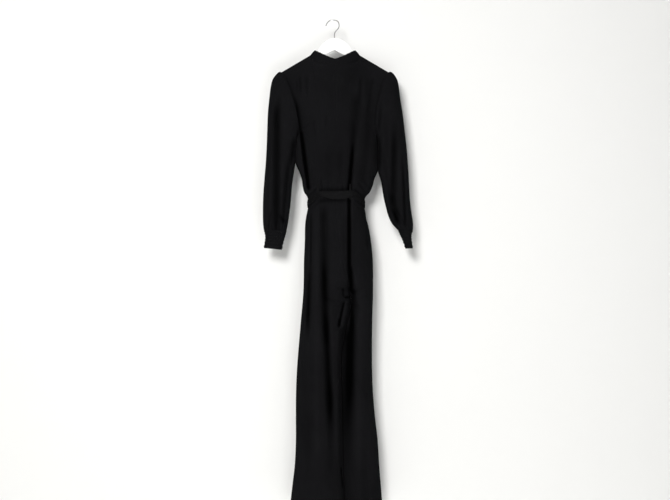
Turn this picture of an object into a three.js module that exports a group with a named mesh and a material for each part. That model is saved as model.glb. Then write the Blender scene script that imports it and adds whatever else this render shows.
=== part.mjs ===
import * as THREE from "three";
import { mergeVertices } from "three/addons/utils/BufferGeometryUtils.js";

// All sizes are in millimetres. The origin is the inside top of the hook, +Z is up and -Y is the garment's back.
const clothThickness = 1.6;
const seamGap = 0.3;
const armholeGap = 0.5;
const sideShift = 4.8;

// Heights of the main seams
const shoulderPoint = { x: 184, z: -180 };
const neckSide = { x: 84, z: -121 };
const neckDepth = { back: 40, front: 44 };
const neckDip = { back: 37, front: 66 };
const neckCurve = { back: 0.8, front: 1.1 };
const shoulderRidgeDepth = 14;
const chestDepth = 43;
const waistSeam = { centre: -596, side: -624, curve: 3.5 };
const crotchZ = -952.5;
const crotchCurveTop = -845;
const hemZ = -1656;

// Turns a list of names and rows of numbers into rows with named columns
function table(names, rows) {
  const keys = names.split(" ");
  return rows.map((row) => Object.fromEntries(keys.map((key, i) => [key, row[i]])));
}

// Side seams and half depth of the body from underarm to hem
const bodyRows = table("z left right depth", [
  [-390, -124, 138.5, 43],
  [-440, -127.5, 141, 45],
  [-488, -128.5, 141.5, 47],
  [-515, -121.5, 141, 48.5],
  [-540, -114, 135, 49.5],
  [-570, -109, 126, 50],
  [-588, -104, 117.5, 48.5],
  [-600, -95.5, 106, 47],
  [-608, -92.4, 101.4, 46.5],
  [-620, -91.5, 100.2, 46.5],
  [-638, -91.5, 100.2, 47.5],
  [-655, -95, 103.5, 51],
  [-675, -98.8, 106, 54],
  [-700, -101.6, 113, 57],
  [-755, -102.6, 122.5, 60],
  [-820, -105.4, 128.5, 62],
  [-920, -107.2, 129.2, 60],
  [-1020, -115.5, 126.5, 55],
  [-1100, -122.4, 125.6, 51],
  [-1185, -129, 126, 48],
  [-1265, -132.4, 129, 47],
  [-1350, -133, 136, 47],
  [-1430, -133, 145, 48],
  [-1510, -136.5, 150, 49],
  [-1592, -146, 156.5, 51],
  [-1656, -153, 162, 52],
]);

// Centre seam above the crotch and the middle between the legs below it; a gap below 0 laps one leg over the other.
const centreRows = table("z seam gap", [
  [-596, 4.35, 0],
  [-660, 5, 0],
  [-720, 10, 0],
  [-800, 22, 0],
  [-870, 38, 0],
  [-925, 50, 0],
  [-952.5, 53, 0.3],
  [-960, 50.2, 0.2],
  [-972, 45.5, -0.8],
  [-985, 40.5, -2],
  [-1010, 30, -3],
  [-1054, 17.2, -4],
  [-1110, 17.2, -4],
  [-1184, 19.2, -4],
  [-1470, 25, -4],
  [-1592, 29.2, -4],
  [-1656, 31.2, -4],
]);

// Inner edges of the legs: the left one hangs further back, the right one further forward, both flattened
const legLap = { depth: 6.5, reach: 26, top: -952.5, full: -976, flatness: 1.7 };

// Folds run from a top point to a bottom point; depth is how far the trough goes in, width its half breadth.
const foldNames = "x0 z0 x1 z1 depth width fadeTop fadeBottom";
const bodiceBackFolds = table(foldNames, [
  [-131, -262, -84, -585, 15, 15, 50, 60],
  [61, -225, 50, -590, 13, 13, 60, 50],
  [128, -250, 88, -585, 8, 14, 70, 60],
  [-20, -400, -24, -590, 5, 14, 90, 40],
  [-119, -196, -116, -300, 3.5, 9, 20, 60],
  [-96, -190, -94, -290, 3, 8, 20, 60],
  [92, -190, 90, -330, 3.5, 8, 20, 80],
  [124, -200, 121, -300, 3.5, 9, 20, 60],
]);
const bodiceFrontFolds = table(foldNames, [
  [-132, -260, -78, -590, 13, 16, 60, 60],
  [126, -250, 82, -590, 12, 15, 60, 60],
  [-44, -300, -34, -590, 8, 15, 90, 50],
  [30, -320, 26, -590, 7, 14, 90, 50],
  [-112, -196, -108, -300, 3.5, 9, 20, 60],
  [108, -196, 104, -300, 3.5, 9, 20, 60],
]);
const trouserBackFolds = table(foldNames, [
  [-80, -655, -84, -920, 9, 10, 60, 120],
  [-84, -900, -96, -1120, 6, 13, 80, 120],
  [-31, -640, -29, -1180, 24, 15, 110, 240],
  [-28, -1010, -13, -1700, 26, 16, 240, 60],
  [50, -625, 54, -985, 18, 12, 60, 90],
  [48, -940, 50, -1700, 21, 19, 90, 700],
  [88, -660, 84, -940, 6, 13, 60, 160],
  [96, -1050, 98, -1700, 7, 16, 200, 60],
  [-86, -1180, -92, -1700, 6, 16, 200, 60],
]);
const trouserFrontFolds = table(foldNames, [
  [-70, -650, -74, -1250, 15, 15, 90, 260],
  [-26, -640, -34, -1700, 20, 16, 110, 60],
  [20, -640, 34, -940, 9, 13, 60, 60],
  [66, -650, 70, -1700, 21, 17, 110, 60],
  [102, -700, 106, -1200, 8, 13, 90, 260],
  [-88, -1250, -96, -1700, 10, 16, 200, 60],
]);

// Sleeve sections: the outer or top point, the inner or under point, the half depth and the armhole's curve
const sleeveNames = "outerX outerZ innerX innerZ depth curve";
const sleeveRows = {
  left: table(sleeveNames, [
    [-184, -180, -127.4, -390, 32, 18],
    [-190, -179, -129.6, -395, 35, 17],
    [-198, -185.5, -130.6, -402, 37.5, 15],
    [-206.5, -195.5, -131.6, -412, 39, 12],
    [-214, -209, -132.6, -424, 40, 9],
    [-219, -232, -133.6, -440, 40.5, 5],
    [-223.5, -270, -134.8, -460, 40.5, 2],
    [-228, -320, -136, -485, 40, 0],
    [-230, -375, -138.5, -515, 39, 0],
    [-232, -430, -143.5, -545, 38.5, 0],
    [-235, -485, -147, -575, 38, 0],
    [-239.5, -540, -149, -605, 38, 0],
    [-243.5, -595, -152, -635, 37, 0],
    [-245, -645, -156, -665, 35, 0],
    [-244.5, -685, -160, -692, 31, 0],
    [-241, -714, -165, -716, 24, 0],
  ]),
  right: table(sleeveNames, [
    [184, -180, 141.9, -388, 32, 18],
    [190, -178.5, 144, -393, 35, 17],
    [198, -184.5, 145, -400, 37.5, 15],
    [206, -194.5, 145.8, -411, 39, 12],
    [213, -208.5, 146.4, -424, 40, 9],
    [217.5, -232, 147, -440, 40.5, 5],
    [222.5, -272, 147.6, -462, 40.5, 2],
    [230, -322, 148.4, -488, 40, 0],
    [237, -380, 150, -516, 39, 0],
    [243, -435, 156, -548, 38.5, 0],
    [247.5, -490, 161, -578, 38, 0],
    [251, -545, 166, -608, 38, 0],
    [253.5, -598, 174, -640, 37, 0],
    [258, -645, 182, -668, 36, 0],
    [264.5, -688, 195, -694, 34, 0],
    [264, -716, 216, -717, 31, 0],
  ]),
};
const sleeveFolds = {
  left: table(foldNames, [
    [-198, -255, -208, -722, 8.5, 14, 90, 60],
    [-158, -430, -176, -700, 6, 10, 80, 50],
  ]),
  right: table(foldNames, [
    [176, -300, 204, -700, 12, 13, 100, 50],
    [222, -360, 243, -722, 6, 9, 120, 60],
  ]),
};
const sleeveGathers = { depth: 1.5, period: 16, reach: 56, fadeRows: 4.5 };

// Cuffs: the same columns, from the sleeve seam down to the wrist
const cuffRows = {
  left: table(sleeveNames, [
    [-240.8, -714.6, -165.3, -716.6, 23.6, 0],
    [-237.5, -728, -168.4, -729, 20, 0],
    [-236, -742, -172.4, -744, 17, 0],
    [-238, -757, -176.8, -760, 15.5, 0],
    [-241.4, -776, -181.5, -782, 14.5, 0],
  ]),
  right: table(sleeveNames, [
    [263.8, -716.6, 216.3, -717.6, 30.6, 0],
    [259.5, -729, 222, -730, 30.2, 0],
    [258.5, -741, 227.6, -742, 30, 0],
    [260.5, -757, 234, -757, 30, 0],
    [263.3, -777, 240.5, -778, 30, 0],
  ]),
};
const cuffShirring = { ridges: 6, height: 1.4 };

// Belt edges all round the waist, by angle from the left side seam through the back
const beltRows = table("angle top bottom", [
  [0, -612, -636],
  [35, -597, -620],
  [54, -583, -599],
  [63, -581, -601],
  [80, -581.5, -609],
  [104, -580.5, -609.5],
  [118, -579.5, -603],
  [127, -580, -597],
  [146, -596, -618],
  [180, -612, -636],
  [225, -592, -617],
  [270, -584, -610],
  [315, -592, -617],
  [360, -612, -636],
]);
const belt = { thickness: 1.8, clearance: 1.6, bulge: 1.6, depth: 50 };
const beltLoops = table("side x top bottom width", [
  ["left", -59, -556, -611, 6],
  ["right", 53.5, -558, -611, 6],
]);
const beltLoop = { thickness: 1.4, stand: 11, clearance: 0.5, roundness: 0.4 };
const beltKnot = { x: 8, z: -597, halfWidth: 14, halfDepth: 8, halfHeight: 16, gap: -0.25, square: 0.8 };
const beltEnds = table("side topX lowX bottom wave", [
  ["left", -2, -22, -846, 1.5],
  ["right", 18, 34, -872, -1.5],
]);
const beltEnd = { top: -612.95, topHalfWidth: 7, halfWidth: 12, frontY: 64.5 };

// Hanger: a flat moulded body with a plate at the middle, and a wire hook
const hangerBody = {
  thickness: 8,
  armTop: 8,
  armEnd: 172,
  armEndHeight: 13,
  archX: -2,
  archZ: -104,
  archSlope: 0.535,
  archReach: 90,
  plateTop: -63,
  bevel: 1.6,
};
// Half of the plate's outline, from its top to the arm: two curves with their handles
const plateCurves = table("x1 z1 x2 z2 x z", [
  [22, -63, 43, -78, 55, -99],
  [66, -118, 79, -131, 88, -132],
]);
// Line of the hook's wire, from the plate up and over to the free end
const hookWire = 1.5;
const hookLine = table("x z", [
  [-1.7, -62.4],
  [-1.7, -50],
  [0, -43],
  [7, -35],
  [12.6, -27],
  [14, -18],
  [10, -6],
  [-sideShift, -hookWire],
  [-18, -3.5],
  [-27, -12],
  [-31, -21],
]);

// Stand collar: it leans in, and its top edge is lowest at the middle of the back
const collar = {
  lean: 11,
  lowLean: 3,
  sideTop: -107.5,
  backTop: -140.5,
  curve: 1.3,
  frontHeight: 18.5,
  lift: 0.5,
  frontLift: 0.7,
  bow: 1.2,
  columns: 40,
};

const smoothStep = (from, to, x) => {
  const t = Math.min(1, Math.max(0, (x - from) / (to - from)));
  return t * t * (3 - 2 * t);
};
const lerp = (a, b, t) => a + (b - a) * t;
const signedPower = (x, power) => Math.sign(x) * Math.abs(x) ** power;

// Smooth curve through a table: every column at the place "at" of its key column
function along(rows, key, at) {
  const forward = rows[rows.length - 1][key] > rows[0][key] ? 1 : -1;
  let i = 0;
  while (i < rows.length - 2 && (at - rows[i + 1][key]) * forward > 0) i += 1;
  const span = rows[i + 1][key] - rows[i][key];
  const t = Math.min(1, Math.max(0, (at - rows[i][key]) / span));
  const slope = (k, column) => {
    const before = rows[Math.max(0, k - 1)];
    const after = rows[Math.min(rows.length - 1, k + 1)];
    return ((after[column] - before[column]) / (after[key] - before[key])) * span;
  };
  const result = {};
  for (const column of Object.keys(rows[0])) {
    const [a, b] = [rows[i][column], rows[i + 1][column]];
    const [sa, sb] = [slope(i, column), slope(i + 1, column)];
    const [t2, t3] = [t * t, t * t * t];
    result[column] =
      (2 * t3 - 3 * t2 + 1) * a + (t3 - 2 * t2 + t) * sa + (3 * t2 - 2 * t3) * b + (t3 - t2) * sb;
  }
  return result;
}

// How far the folds of a list push the cloth in at one place
function foldDepth(folds, x, z) {
  let total = 0;
  for (const fold of folds) {
    const t = (z - fold.z0) / (fold.z1 - fold.z0);
    const fade = smoothStep(fold.z0, fold.z0 - fold.fadeTop, z) * smoothStep(fold.z1, fold.z1 + fold.fadeBottom, z);
    const across = (x - lerp(fold.x0, fold.x1, t)) / fold.width;
    total += fold.depth * fade * Math.exp(-across * across);
  }
  return total;
}

// Normal of a grid of points at one place, from the four cells round it
function gridNormal(grid, rows, columns, closed, i, j) {
  const wrap = (k) => (closed ? (k + columns) % columns : Math.min(Math.max(k, 0), columns - 1));
  const at = (row, column) => grid[Math.min(Math.max(row, 0), rows - 1) * columns + wrap(column)];
  const normal = new THREE.Vector3();
  for (const [down, side] of [[1, 1], [1, -1], [-1, 1], [-1, -1]]) {
    const alongV = at(i + down, j).clone().sub(at(i, j)).multiplyScalar(down);
    const alongU = at(i, j + side).clone().sub(at(i, j)).multiplyScalar(side);
    normal.add(alongV.cross(alongU).normalize());
  }
  return normal;
}

// Closed wall on a surface: points on the outside, the same points moved in, and a rim at every free edge
function clothWall({ surface, us, vs, closed = false, thickness = clothThickness, relief = () => 0 }) {
  const [rows, columns] = [vs.length, us.length];
  const grid = vs.flatMap((v) => us.map((u) => surface(u, v)));
  const outer = [];
  const inner = [];
  for (let i = 0; i < rows; i += 1) {
    for (let j = 0; j < columns; j += 1) {
      const point = grid[i * columns + j];
      const normal = gridNormal(grid, rows, columns, closed, i, j);
      const onSeam = !closed && (j === 0 || j === columns - 1);
      if (Math.abs(point.y) < seamGap) normal.y = 0;
      else if (onSeam) normal.x = 0;
      normal.normalize();
      inner.push(point.clone().addScaledVector(normal, -thickness));
      outer.push(point.clone().addScaledVector(normal, relief(us[j], vs[i])));
    }
  }
  const points = [...outer, ...inner];
  const half = rows * columns;
  const faces = [];
  const quad = (a, b, c, d) => faces.push(a, b, c, a, c, d);
  const spans = closed ? columns : columns - 1;
  for (let i = 0; i < rows - 1; i += 1) {
    for (let j = 0; j < spans; j += 1) {
      const next = (j + 1) % columns;
      const [a, b] = [i * columns + j, i * columns + next];
      const [c, d] = [b + columns, a + columns];
      quad(a, d, c, b);
      quad(a + half, b + half, c + half, d + half);
    }
  }
  for (let j = 0; j < spans; j += 1) {
    const next = (j + 1) % columns;
    const last = (rows - 1) * columns;
    quad(j, next, next + half, j + half);
    quad(last + next, last + j, last + j + half, last + next + half);
  }
  if (!closed) {
    for (let i = 0; i < rows - 1; i += 1) {
      const [a, d] = [i * columns, (i + 1) * columns];
      quad(d, a, a + half, d + half);
      const [b, c] = [a + columns - 1, d + columns - 1];
      quad(b, c, c + half, b + half);
    }
  }
  return new THREE.BufferGeometry().setFromPoints(points).setIndex(faces);
}

const evenly = (count, from = 0, to = 1) => Array.from({ length: count + 1 }, (_, i) => lerp(from, to, i / count));

// Armhole: the ring where body and sleeve meet, by side and height
const underarmZ = { left: sleeveRows.left[0].innerZ, right: sleeveRows.right[0].innerZ };
function armholeEdge(side, z) {
  const ring = sleeveRows[side][0];
  const f = Math.min(1, Math.max(0, (z - ring.outerZ) / (ring.innerZ - ring.outerZ)));
  const round = Math.sqrt(Math.max(0, 4 * f * (1 - f)));
  const inward = side === "left" ? 1 : -1;
  return { x: lerp(ring.outerX, ring.innerX, f) + inward * ring.curve * round, y: ring.depth * round ** 0.8 };
}

// Side edge of the bodice: the armhole, then the side seam
function bodiceSide(side, z) {
  const sign = side === "left" ? -1 : 1;
  if (z > underarmZ[side]) {
    const edge = armholeEdge(side, z);
    return { x: edge.x - sign * seamGap * 0.5, y: edge.y };
  }
  const body = along(bodyRows, "z", z)[side];
  const start = sleeveRows[side][0].innerX - sign * seamGap * 0.5;
  return { x: lerp(start, body, smoothStep(underarmZ[side], underarmZ[side] - 30, z)), y: 0 };
}

const waistLine = (across) => lerp(waistSeam.centre, waistSeam.side, Math.abs(across) ** waistSeam.curve);

// Top edge of the bodice: shoulder seams over the hanger, then the neck seam
function bodiceTop(x, face) {
  const inNeck = Math.sqrt(Math.max(0, 1 - (x / neckSide.x) ** 2));
  if (inNeck > 0) {
    const drop = neckDip[face] * inNeck ** neckCurve[face];
    return { z: neckSide.z - drop, y: neckDepth[face] * inNeck };
  }
  const slope = (shoulderPoint.z - neckSide.z) / (shoulderPoint.x - neckSide.x);
  return { z: neckSide.z + slope * (Math.abs(x) - neckSide.x), y: 0 };
}

// Bodice surface: u is the angle from left through back and right to the front, v runs from shoulder to waist.
function bodiceSurface(u, v) {
  const face = u <= Math.PI ? "back" : "front";
  const outward = face === "back" ? -1 : 1;
  const sine = Math.abs(Math.sin(u));
  const across = -Math.cos(u);
  const topX = across * shoulderPoint.x;
  const top = bodiceTop(topX, face);
  const sideZ = lerp(shoulderPoint.z, waistSeam.side + seamGap * 0.5, v);
  const [left, right] = [bodiceSide("left", sideZ), bodiceSide("right", sideZ)];
  const part = (1 + across) / 2;
  const down = lerp(v, v ** 0.7, top.y / neckDepth[face]);
  const z = lerp(top.z, waistLine(across) + seamGap * 0.5, down);
  const x = lerp(left.x, right.x, part);
  const fullDepth = sideZ > -390 ? lerp(chestDepth, bodyRows[0].depth, v) : along(bodyRows, "z", sideZ).depth;
  const drop = top.z - z;
  const ridge = shoulderRidgeDepth * (1 - top.y / neckDepth[face]);
  const middle =
    top.y + ridge * (1 - Math.exp(-drop / 7)) + (fullDepth - top.y - ridge) * smoothStep(0, 140, drop);
  const round = sine ** lerp(0.75, 2, smoothStep(-390, -375, sideZ));
  const edge = lerp(left.y, right.y, part);
  const folds = face === "back" ? bodiceBackFolds : bodiceFrontFolds;
  const y = lerp(edge, middle, round) - foldDepth(folds, x, z) * smoothStep(0.15, 0.7, sine);
  return new THREE.Vector3(x, outward * (y + seamGap * 0.5), z);
}

// Angle to which a half of the trousers runs: a quarter turn at the hips, a half turn from the crotch down
function legAngle(z) {
  return (Math.PI / 2) * (1 + smoothStep(crotchCurveTop, crotchZ, z));
}

const lapShare = (z) => smoothStep(legLap.top, legLap.full, z);

// Moves a leg's inner edge back or forward, so that the two legs lap without touching
function lapLeg(geometry, side) {
  const place = geometry.attributes.position;
  for (let i = 0; i < place.count; i += 1) {
    const z = place.getZ(i);
    const away = (place.getX(i) - along(centreRows, "z", z).seam) / legLap.reach;
    const shift = legLap.depth * lapShare(z) * Math.exp(-away * away);
    place.setY(i, place.getY(i) + (side === "left" ? -shift : shift));
  }
  return geometry;
}

// Trouser surface: u runs from the side seam to the centre or inner leg seam, v from waist to hem.
function trouserSurface(side, face, u, v) {
  const sign = side === "left" ? -1 : 1;
  const centreZ = lerp(waistSeam.centre - seamGap * 0.5, hemZ, v);
  const sideZ = lerp(waistSeam.side - seamGap * 0.5, hemZ, v);
  const angleEnd = legAngle(centreZ);
  const angle = Math.min(Math.max(u, 0), 1) * angleEnd;
  const part = (1 - Math.cos(angle)) / (1 - Math.cos(angleEnd));
  const body = along(bodyRows, "z", sideZ);
  const centre = along(centreRows, "z", centreZ);
  const x = lerp(body[side], centre.seam + (sign * (centre.gap + seamGap)) / 2, part);
  const z = lerp(waistLine(1 - part) - seamGap * 0.5, hemZ, v);
  const sine = Math.abs(Math.sin(angle));
  const round = angle > Math.PI / 2 ? lerp(0.75, legLap.flatness, lapShare(centreZ)) : 0.75;
  const folds = face === "back" ? trouserBackFolds : trouserFrontFolds;
  const y = body.depth * sine ** round - foldDepth(folds, x, z) * smoothStep(0, 0.5, sine);
  return new THREE.Vector3(x, (face === "back" ? -1 : 1) * (y + seamGap * 0.5), z);
}

// Ring of a sleeve or cuff: u is the angle from left through back, v counts the rows of its table.
function armSurface(rows, side, folds, gathers, u, v) {
  const sign = side === "left" ? -1 : 1;
  const numbered = rows.map((row, k) => ({ k, ...row }));
  const row = along(numbered, "k", v);
  const fromOuter = side === "left" ? u : Math.PI - u;
  const [cosine, sine] = [Math.cos(fromOuter), Math.sin(fromOuter)];
  const middleX = (row.outerX + row.innerX) / 2;
  const middleZ = (row.outerZ + row.innerZ) / 2;
  const x = middleX + ((row.outerX - row.innerX) / 2) * cosine - sign * row.curve * Math.abs(sine);
  const z = middleZ + ((row.outerZ - row.innerZ) / 2) * cosine;
  const y = -row.depth * signedPower(sine, 0.8);
  const pushed = foldDepth(folds, x, z) * smoothStep(0, 0.5, Math.abs(sine));
  const point = new THREE.Vector3(x, y + Math.sign(sine) * pushed, z);
  if (gathers) {
    const degrees = Math.abs(THREE.MathUtils.radToDeg(Math.atan2(sine, cosine)));
    const fade = (1 - smoothStep(gathers.reach - 16, gathers.reach, degrees)) * smoothStep(0, 1, v);
    const wave = gathers.depth * Math.cos((2 * Math.PI * degrees) / gathers.period) * fade;
    const lift = wave * (1 - smoothStep(1, gathers.fadeRows, v));
    point.x += sign * lift * Math.abs(cosine) * 0.5;
    point.z += lift * cosine;
    point.y -= lift * sine;
  }
  point.x += sign * armholeGap * (1 - smoothStep(0, 1, v));
  return point;
}

function clothMaterial() {
  return new THREE.MeshStandardMaterial({ color: 0x17171a, roughness: 0.9 });
}
function beltMaterial() {
  return new THREE.MeshStandardMaterial({ color: 0x1a1a1c, roughness: 0.85 });
}
function plasticMaterial() {
  return new THREE.MeshStandardMaterial({ color: 0xf6f5f3, roughness: 0.35 });
}
function steelMaterial() {
  return new THREE.MeshStandardMaterial({ color: 0xb8bbbe, roughness: 0.25, metalness: 1 });
}

const group = new THREE.Group();
function add(name, geometry, material) {
  geometry.computeVertexNormals();
  const mesh = new THREE.Mesh(geometry, material);
  mesh.name = name;
  mesh.position.x = sideShift;
  group.add(mesh);
  return mesh;
}

// Angles round the armhole, which also give the rows of the bodice
const armholeDegrees = [0, 8, 16, 24, 32, 40, 52, 67, 84, 104, 126, 151, 180];
const armholeDrop = armholeDegrees.map((a) => (1 - Math.cos(THREE.MathUtils.degToRad(a))) / 2);
const armholeShare = (shoulderPoint.z - sleeveRows.left[0].innerZ) / (shoulderPoint.z - waistSeam.side);
const bodiceRows = [
  ...armholeDrop.map((drop) => drop * armholeShare),
  ...[0.51, 0.58, 0.66, 0.74, 0.82, 0.89, 0.935, 0.965, 1],
];

// Columns of a bodice half: shoulder, then neck
const neckAngle = Math.acos(neckSide.x / shoulderPoint.x);
const halfColumns = [...evenly(6, 0, neckAngle), ...evenly(5, neckAngle, Math.PI / 2).slice(1)];
const mirrored = (angles, about) => angles.map((a) => 2 * about - a).reverse();

// Wall of one bodice panel; the edge on the centre back seam moves aside by half the gap there.
function bodicePanel(angles, centreShift = 0) {
  const surface = (u, v) => {
    const point = bodiceSurface(u, v);
    if (Math.abs(u - Math.PI / 2) < 1e-3) point.x += centreShift;
    return point;
  };
  return clothWall({ surface, us: angles, vs: bodiceRows });
}

function addBodice() {
  const backRight = mirrored(halfColumns, Math.PI / 2);
  const front = [...halfColumns, ...backRight.slice(1)].map((angle) => angle + Math.PI);
  front[0] += 1e-9;
  add("bodice_back_left", bodicePanel(halfColumns, -seamGap / 2), clothMaterial());
  add("bodice_back_right", bodicePanel(backRight, seamGap / 2), clothMaterial());
  add("bodice_front", bodicePanel(front), clothMaterial());
}

// Height of the collar's top edge above a place on the neck seam
function collarTop(low, side) {
  if (low.y > 0) return low.z + collar.frontHeight - (collar.frontHeight + neckSide.z - collar.sideTop) * side;
  return lerp(collar.backTop, collar.sideTop, Math.abs(low.x / neckSide.x) ** collar.curve);
}

function addCollar() {
  const neckAngles = [...halfColumns, ...mirrored(halfColumns, Math.PI / 2).slice(1)].filter(
    (angle) => angle >= neckAngle - 1e-9 && angle <= Math.PI - neckAngle + 1e-9,
  );
  const back = neckAngles.map((angle) => bodiceSurface(angle, 0));
  const front = neckAngles.map((angle) => bodiceSurface(angle + Math.PI + 1e-9, 0));
  const ring = [...back.slice(0, -1), ...front.slice(0, -1)];
  const count = ring.length;
  const seam = (turn) => {
    const at = ((turn % count) + count) % count;
    const i = Math.floor(at);
    return ring[i].clone().lerp(ring[(i + 1) % count], at - i);
  };
  const surface = (turn, v) => {
    const low = seam(turn);
    const angle = (turn / count) * 2 * Math.PI;
    const side = Math.abs(Math.cos(angle)) ** 1.25;
    const inwards = new THREE.Vector3(-low.x, -low.y, 0).normalize();
    const inset = lerp(collar.lowLean, collar.lean, side) * (1 - v) - collar.bow * Math.sin(Math.PI * v);
    const lift = collar.lift + (low.y > 0 ? collar.frontLift * Math.sin(-angle) : 0);
    const rise = (1 - v) * (collarTop(low, side) - low.z) + lift;
    return low.addScaledVector(inwards, inset).add(new THREE.Vector3(0, 0, rise));
  };
  const us = evenly(collar.columns, 0, count).slice(0, collar.columns);
  const wall = { surface, us, vs: [0, 0.2, 0.6, 1], closed: true };
  add("collar_band", clothWall(wall), clothMaterial());
}

function addSleeves() {
  const ringAngles = armholeDegrees.map((a) => THREE.MathUtils.degToRad(a));
  const back = mirrored(ringAngles, Math.PI / 2);
  const leftAngles = [...ringAngles, ...mirrored(ringAngles, Math.PI).slice(1, -1)];
  const rightAngles = [...back, ...back.slice(1, -1).map((a) => 2 * Math.PI - a).reverse()];
  const rows = evenly(15, 0, 15);
  const shirring = (u, v) => (cuffShirring.height * (1 - Math.cos((v / 4) * cuffShirring.ridges * 2 * Math.PI))) / 2;
  for (const side of ["left", "right"]) {
    const us = side === "left" ? leftAngles : rightAngles;
    const surface = (u, v) => armSurface(sleeveRows[side], side, sleeveFolds[side], sleeveGathers, u, v);
    add("sleeve_" + side, clothWall({ surface, us, vs: rows, closed: true }), clothMaterial());
    const cuff = (u, v) => {
      const point = armSurface(cuffRows[side], side, sleeveFolds[side], null, u, v);
      point.x -= (side === "left" ? -1 : 1) * armholeGap * (1 - smoothStep(0, 1, v));
      return point;
    };
    const cuffAngles = evenly(16, 0, 2 * Math.PI).slice(0, 16);
    add(
      "cuff_" + side,
      clothWall({ surface: cuff, us: cuffAngles, vs: evenly(12, 0, 4), closed: true, relief: shirring }),
      clothMaterial(),
    );
  }
}

function addTrousers() {
  const depthRows = [
    -596, -610, -630, -660, -700, -745, -790, -832, -866, -895, -918, -935, -946, crotchZ, -960, -972, -988,
    -1015, -1052, -1100, -1156, -1214, -1272, -1330, -1390, -1450, -1508, -1562, -1612, hemZ,
  ];
  const vs = depthRows.map((z) => (z - waistSeam.centre) / (hemZ - waistSeam.centre));
  const columns = evenly(12);
  const panels = [
    ["left", "back", false],
    ["right", "back", true],
    ["right", "front", false],
    ["left", "front", true],
  ];
  for (const [side, face, fromCentre] of panels) {
    const surface = (u, v) => trouserSurface(side, face, fromCentre ? 1 - u : u, v);
    const panel = lapLeg(clothWall({ surface, us: columns, vs }), side);
    add("trouser_" + face + "_" + side, panel, clothMaterial());
  }
}

// Belt surface: u is the angle round the waist, v runs from its top edge to its lower edge.
function beltSurface(u, v) {
  const turn = ((u % (2 * Math.PI)) + 2 * Math.PI) % (2 * Math.PI);
  const row = along(beltRows, "angle", THREE.MathUtils.radToDeg(turn));
  const z = lerp(row.top, row.bottom, v);
  const body = along(bodyRows, "z", -626);
  const away = belt.clearance + belt.thickness + belt.bulge * Math.sin(Math.PI * v);
  const middle = (body.left + body.right) / 2;
  const half = (body.right - body.left) / 2 + away;
  const depth = belt.depth + away;
  return new THREE.Vector3(middle - half * Math.cos(turn), -depth * signedPower(Math.sin(turn), 0.75), z);
}

function addBelt() {
  const angles = evenly(36, 0, 2 * Math.PI).slice(0, 36);
  add(
    "belt",
    clothWall({ surface: beltSurface, us: angles, vs: [0, 0.5, 1], closed: true, thickness: belt.thickness }),
    beltMaterial(),
  );
}

// Back of the garment at one place, stepped to on the bodice above the waist seam or on the trousers below it
function backAt(side, x, z) {
  const above = z > waistSeam.centre;
  const sign = side === "left" ? 1 : -1;
  const step = 0.8;
  const tall = above ? 450 : 1050;
  let [u, v] = above ? [Math.PI / 2, 0.9] : [0.8, 0.02];
  let point = null;
  for (let k = 0; k < 24; k += 1) {
    point = above ? bodiceSurface(u, v) : trouserSurface(side, "back", u, v);
    const wide = above ? 105 * Math.sin(u) : sign * 150 * Math.sin((u * Math.PI) / 2);
    u += (step * (x - point.x)) / wide;
    v += (step * (point.z - z)) / tall;
  }
  return point.y;
}

function addBeltLoops() {
  for (const loop of beltLoops) {
    const surface = (u, v) => {
      const x = loop.x + (u - 0.5) * loop.width;
      const z = lerp(loop.top, loop.bottom, v);
      const bow = beltLoop.stand * Math.sin(Math.PI * v) ** beltLoop.roundness;
      const y = backAt(loop.side, x, z) - beltLoop.clearance - beltLoop.thickness - bow;
      return new THREE.Vector3(x, y, z);
    };
    const wall = { surface, us: [0, 0.5, 1], vs: evenly(9), thickness: beltLoop.thickness };
    add("belt_loop_" + loop.side, clothWall(wall), beltMaterial());
  }
}

// Tie at the front: a soft knot and the two hanging ends
function addTie() {
  const knot = new THREE.SphereGeometry(1, 14, 10);
  const place = knot.attributes.position;
  const centreY = belt.depth + belt.clearance + belt.thickness + belt.bulge + beltKnot.gap + beltKnot.halfDepth;
  for (let i = 0; i < place.count; i += 1) {
    const crease = 1 - 0.12 * Math.exp(-(((place.getX(i) - 0.35 * place.getZ(i)) / 0.25) ** 2));
    place.setXYZ(
      i,
      beltKnot.x + beltKnot.halfWidth * signedPower(place.getX(i), beltKnot.square),
      centreY + beltKnot.halfDepth * crease * signedPower(place.getY(i), beltKnot.square),
      beltKnot.z + beltKnot.halfHeight * signedPower(place.getZ(i), beltKnot.square),
    );
  }
  add("belt_knot", mergeVertices(knot.deleteAttribute("uv").deleteAttribute("normal"), 1e-3), beltMaterial());
  for (const end of beltEnds) {
    const surface = (u, v) => {
      const halfWidth = lerp(beltEnd.topHalfWidth, beltEnd.halfWidth, smoothStep(0, 0.25, v));
      const x = lerp(end.topX, end.lowX, v) + (1 - 2 * u) * halfWidth;
      const bow = end.wave * Math.sin(2 * Math.PI * v) + 1.2 * Math.sin(Math.PI * u);
      return new THREE.Vector3(x, beltEnd.frontY + bow, lerp(beltEnd.top, end.bottom, v));
    };
    const wall = { surface, us: [0, 0.5, 1], vs: evenly(8), thickness: belt.thickness };
    add("belt_end_" + end.side, clothWall(wall), beltMaterial());
  }
}

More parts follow.
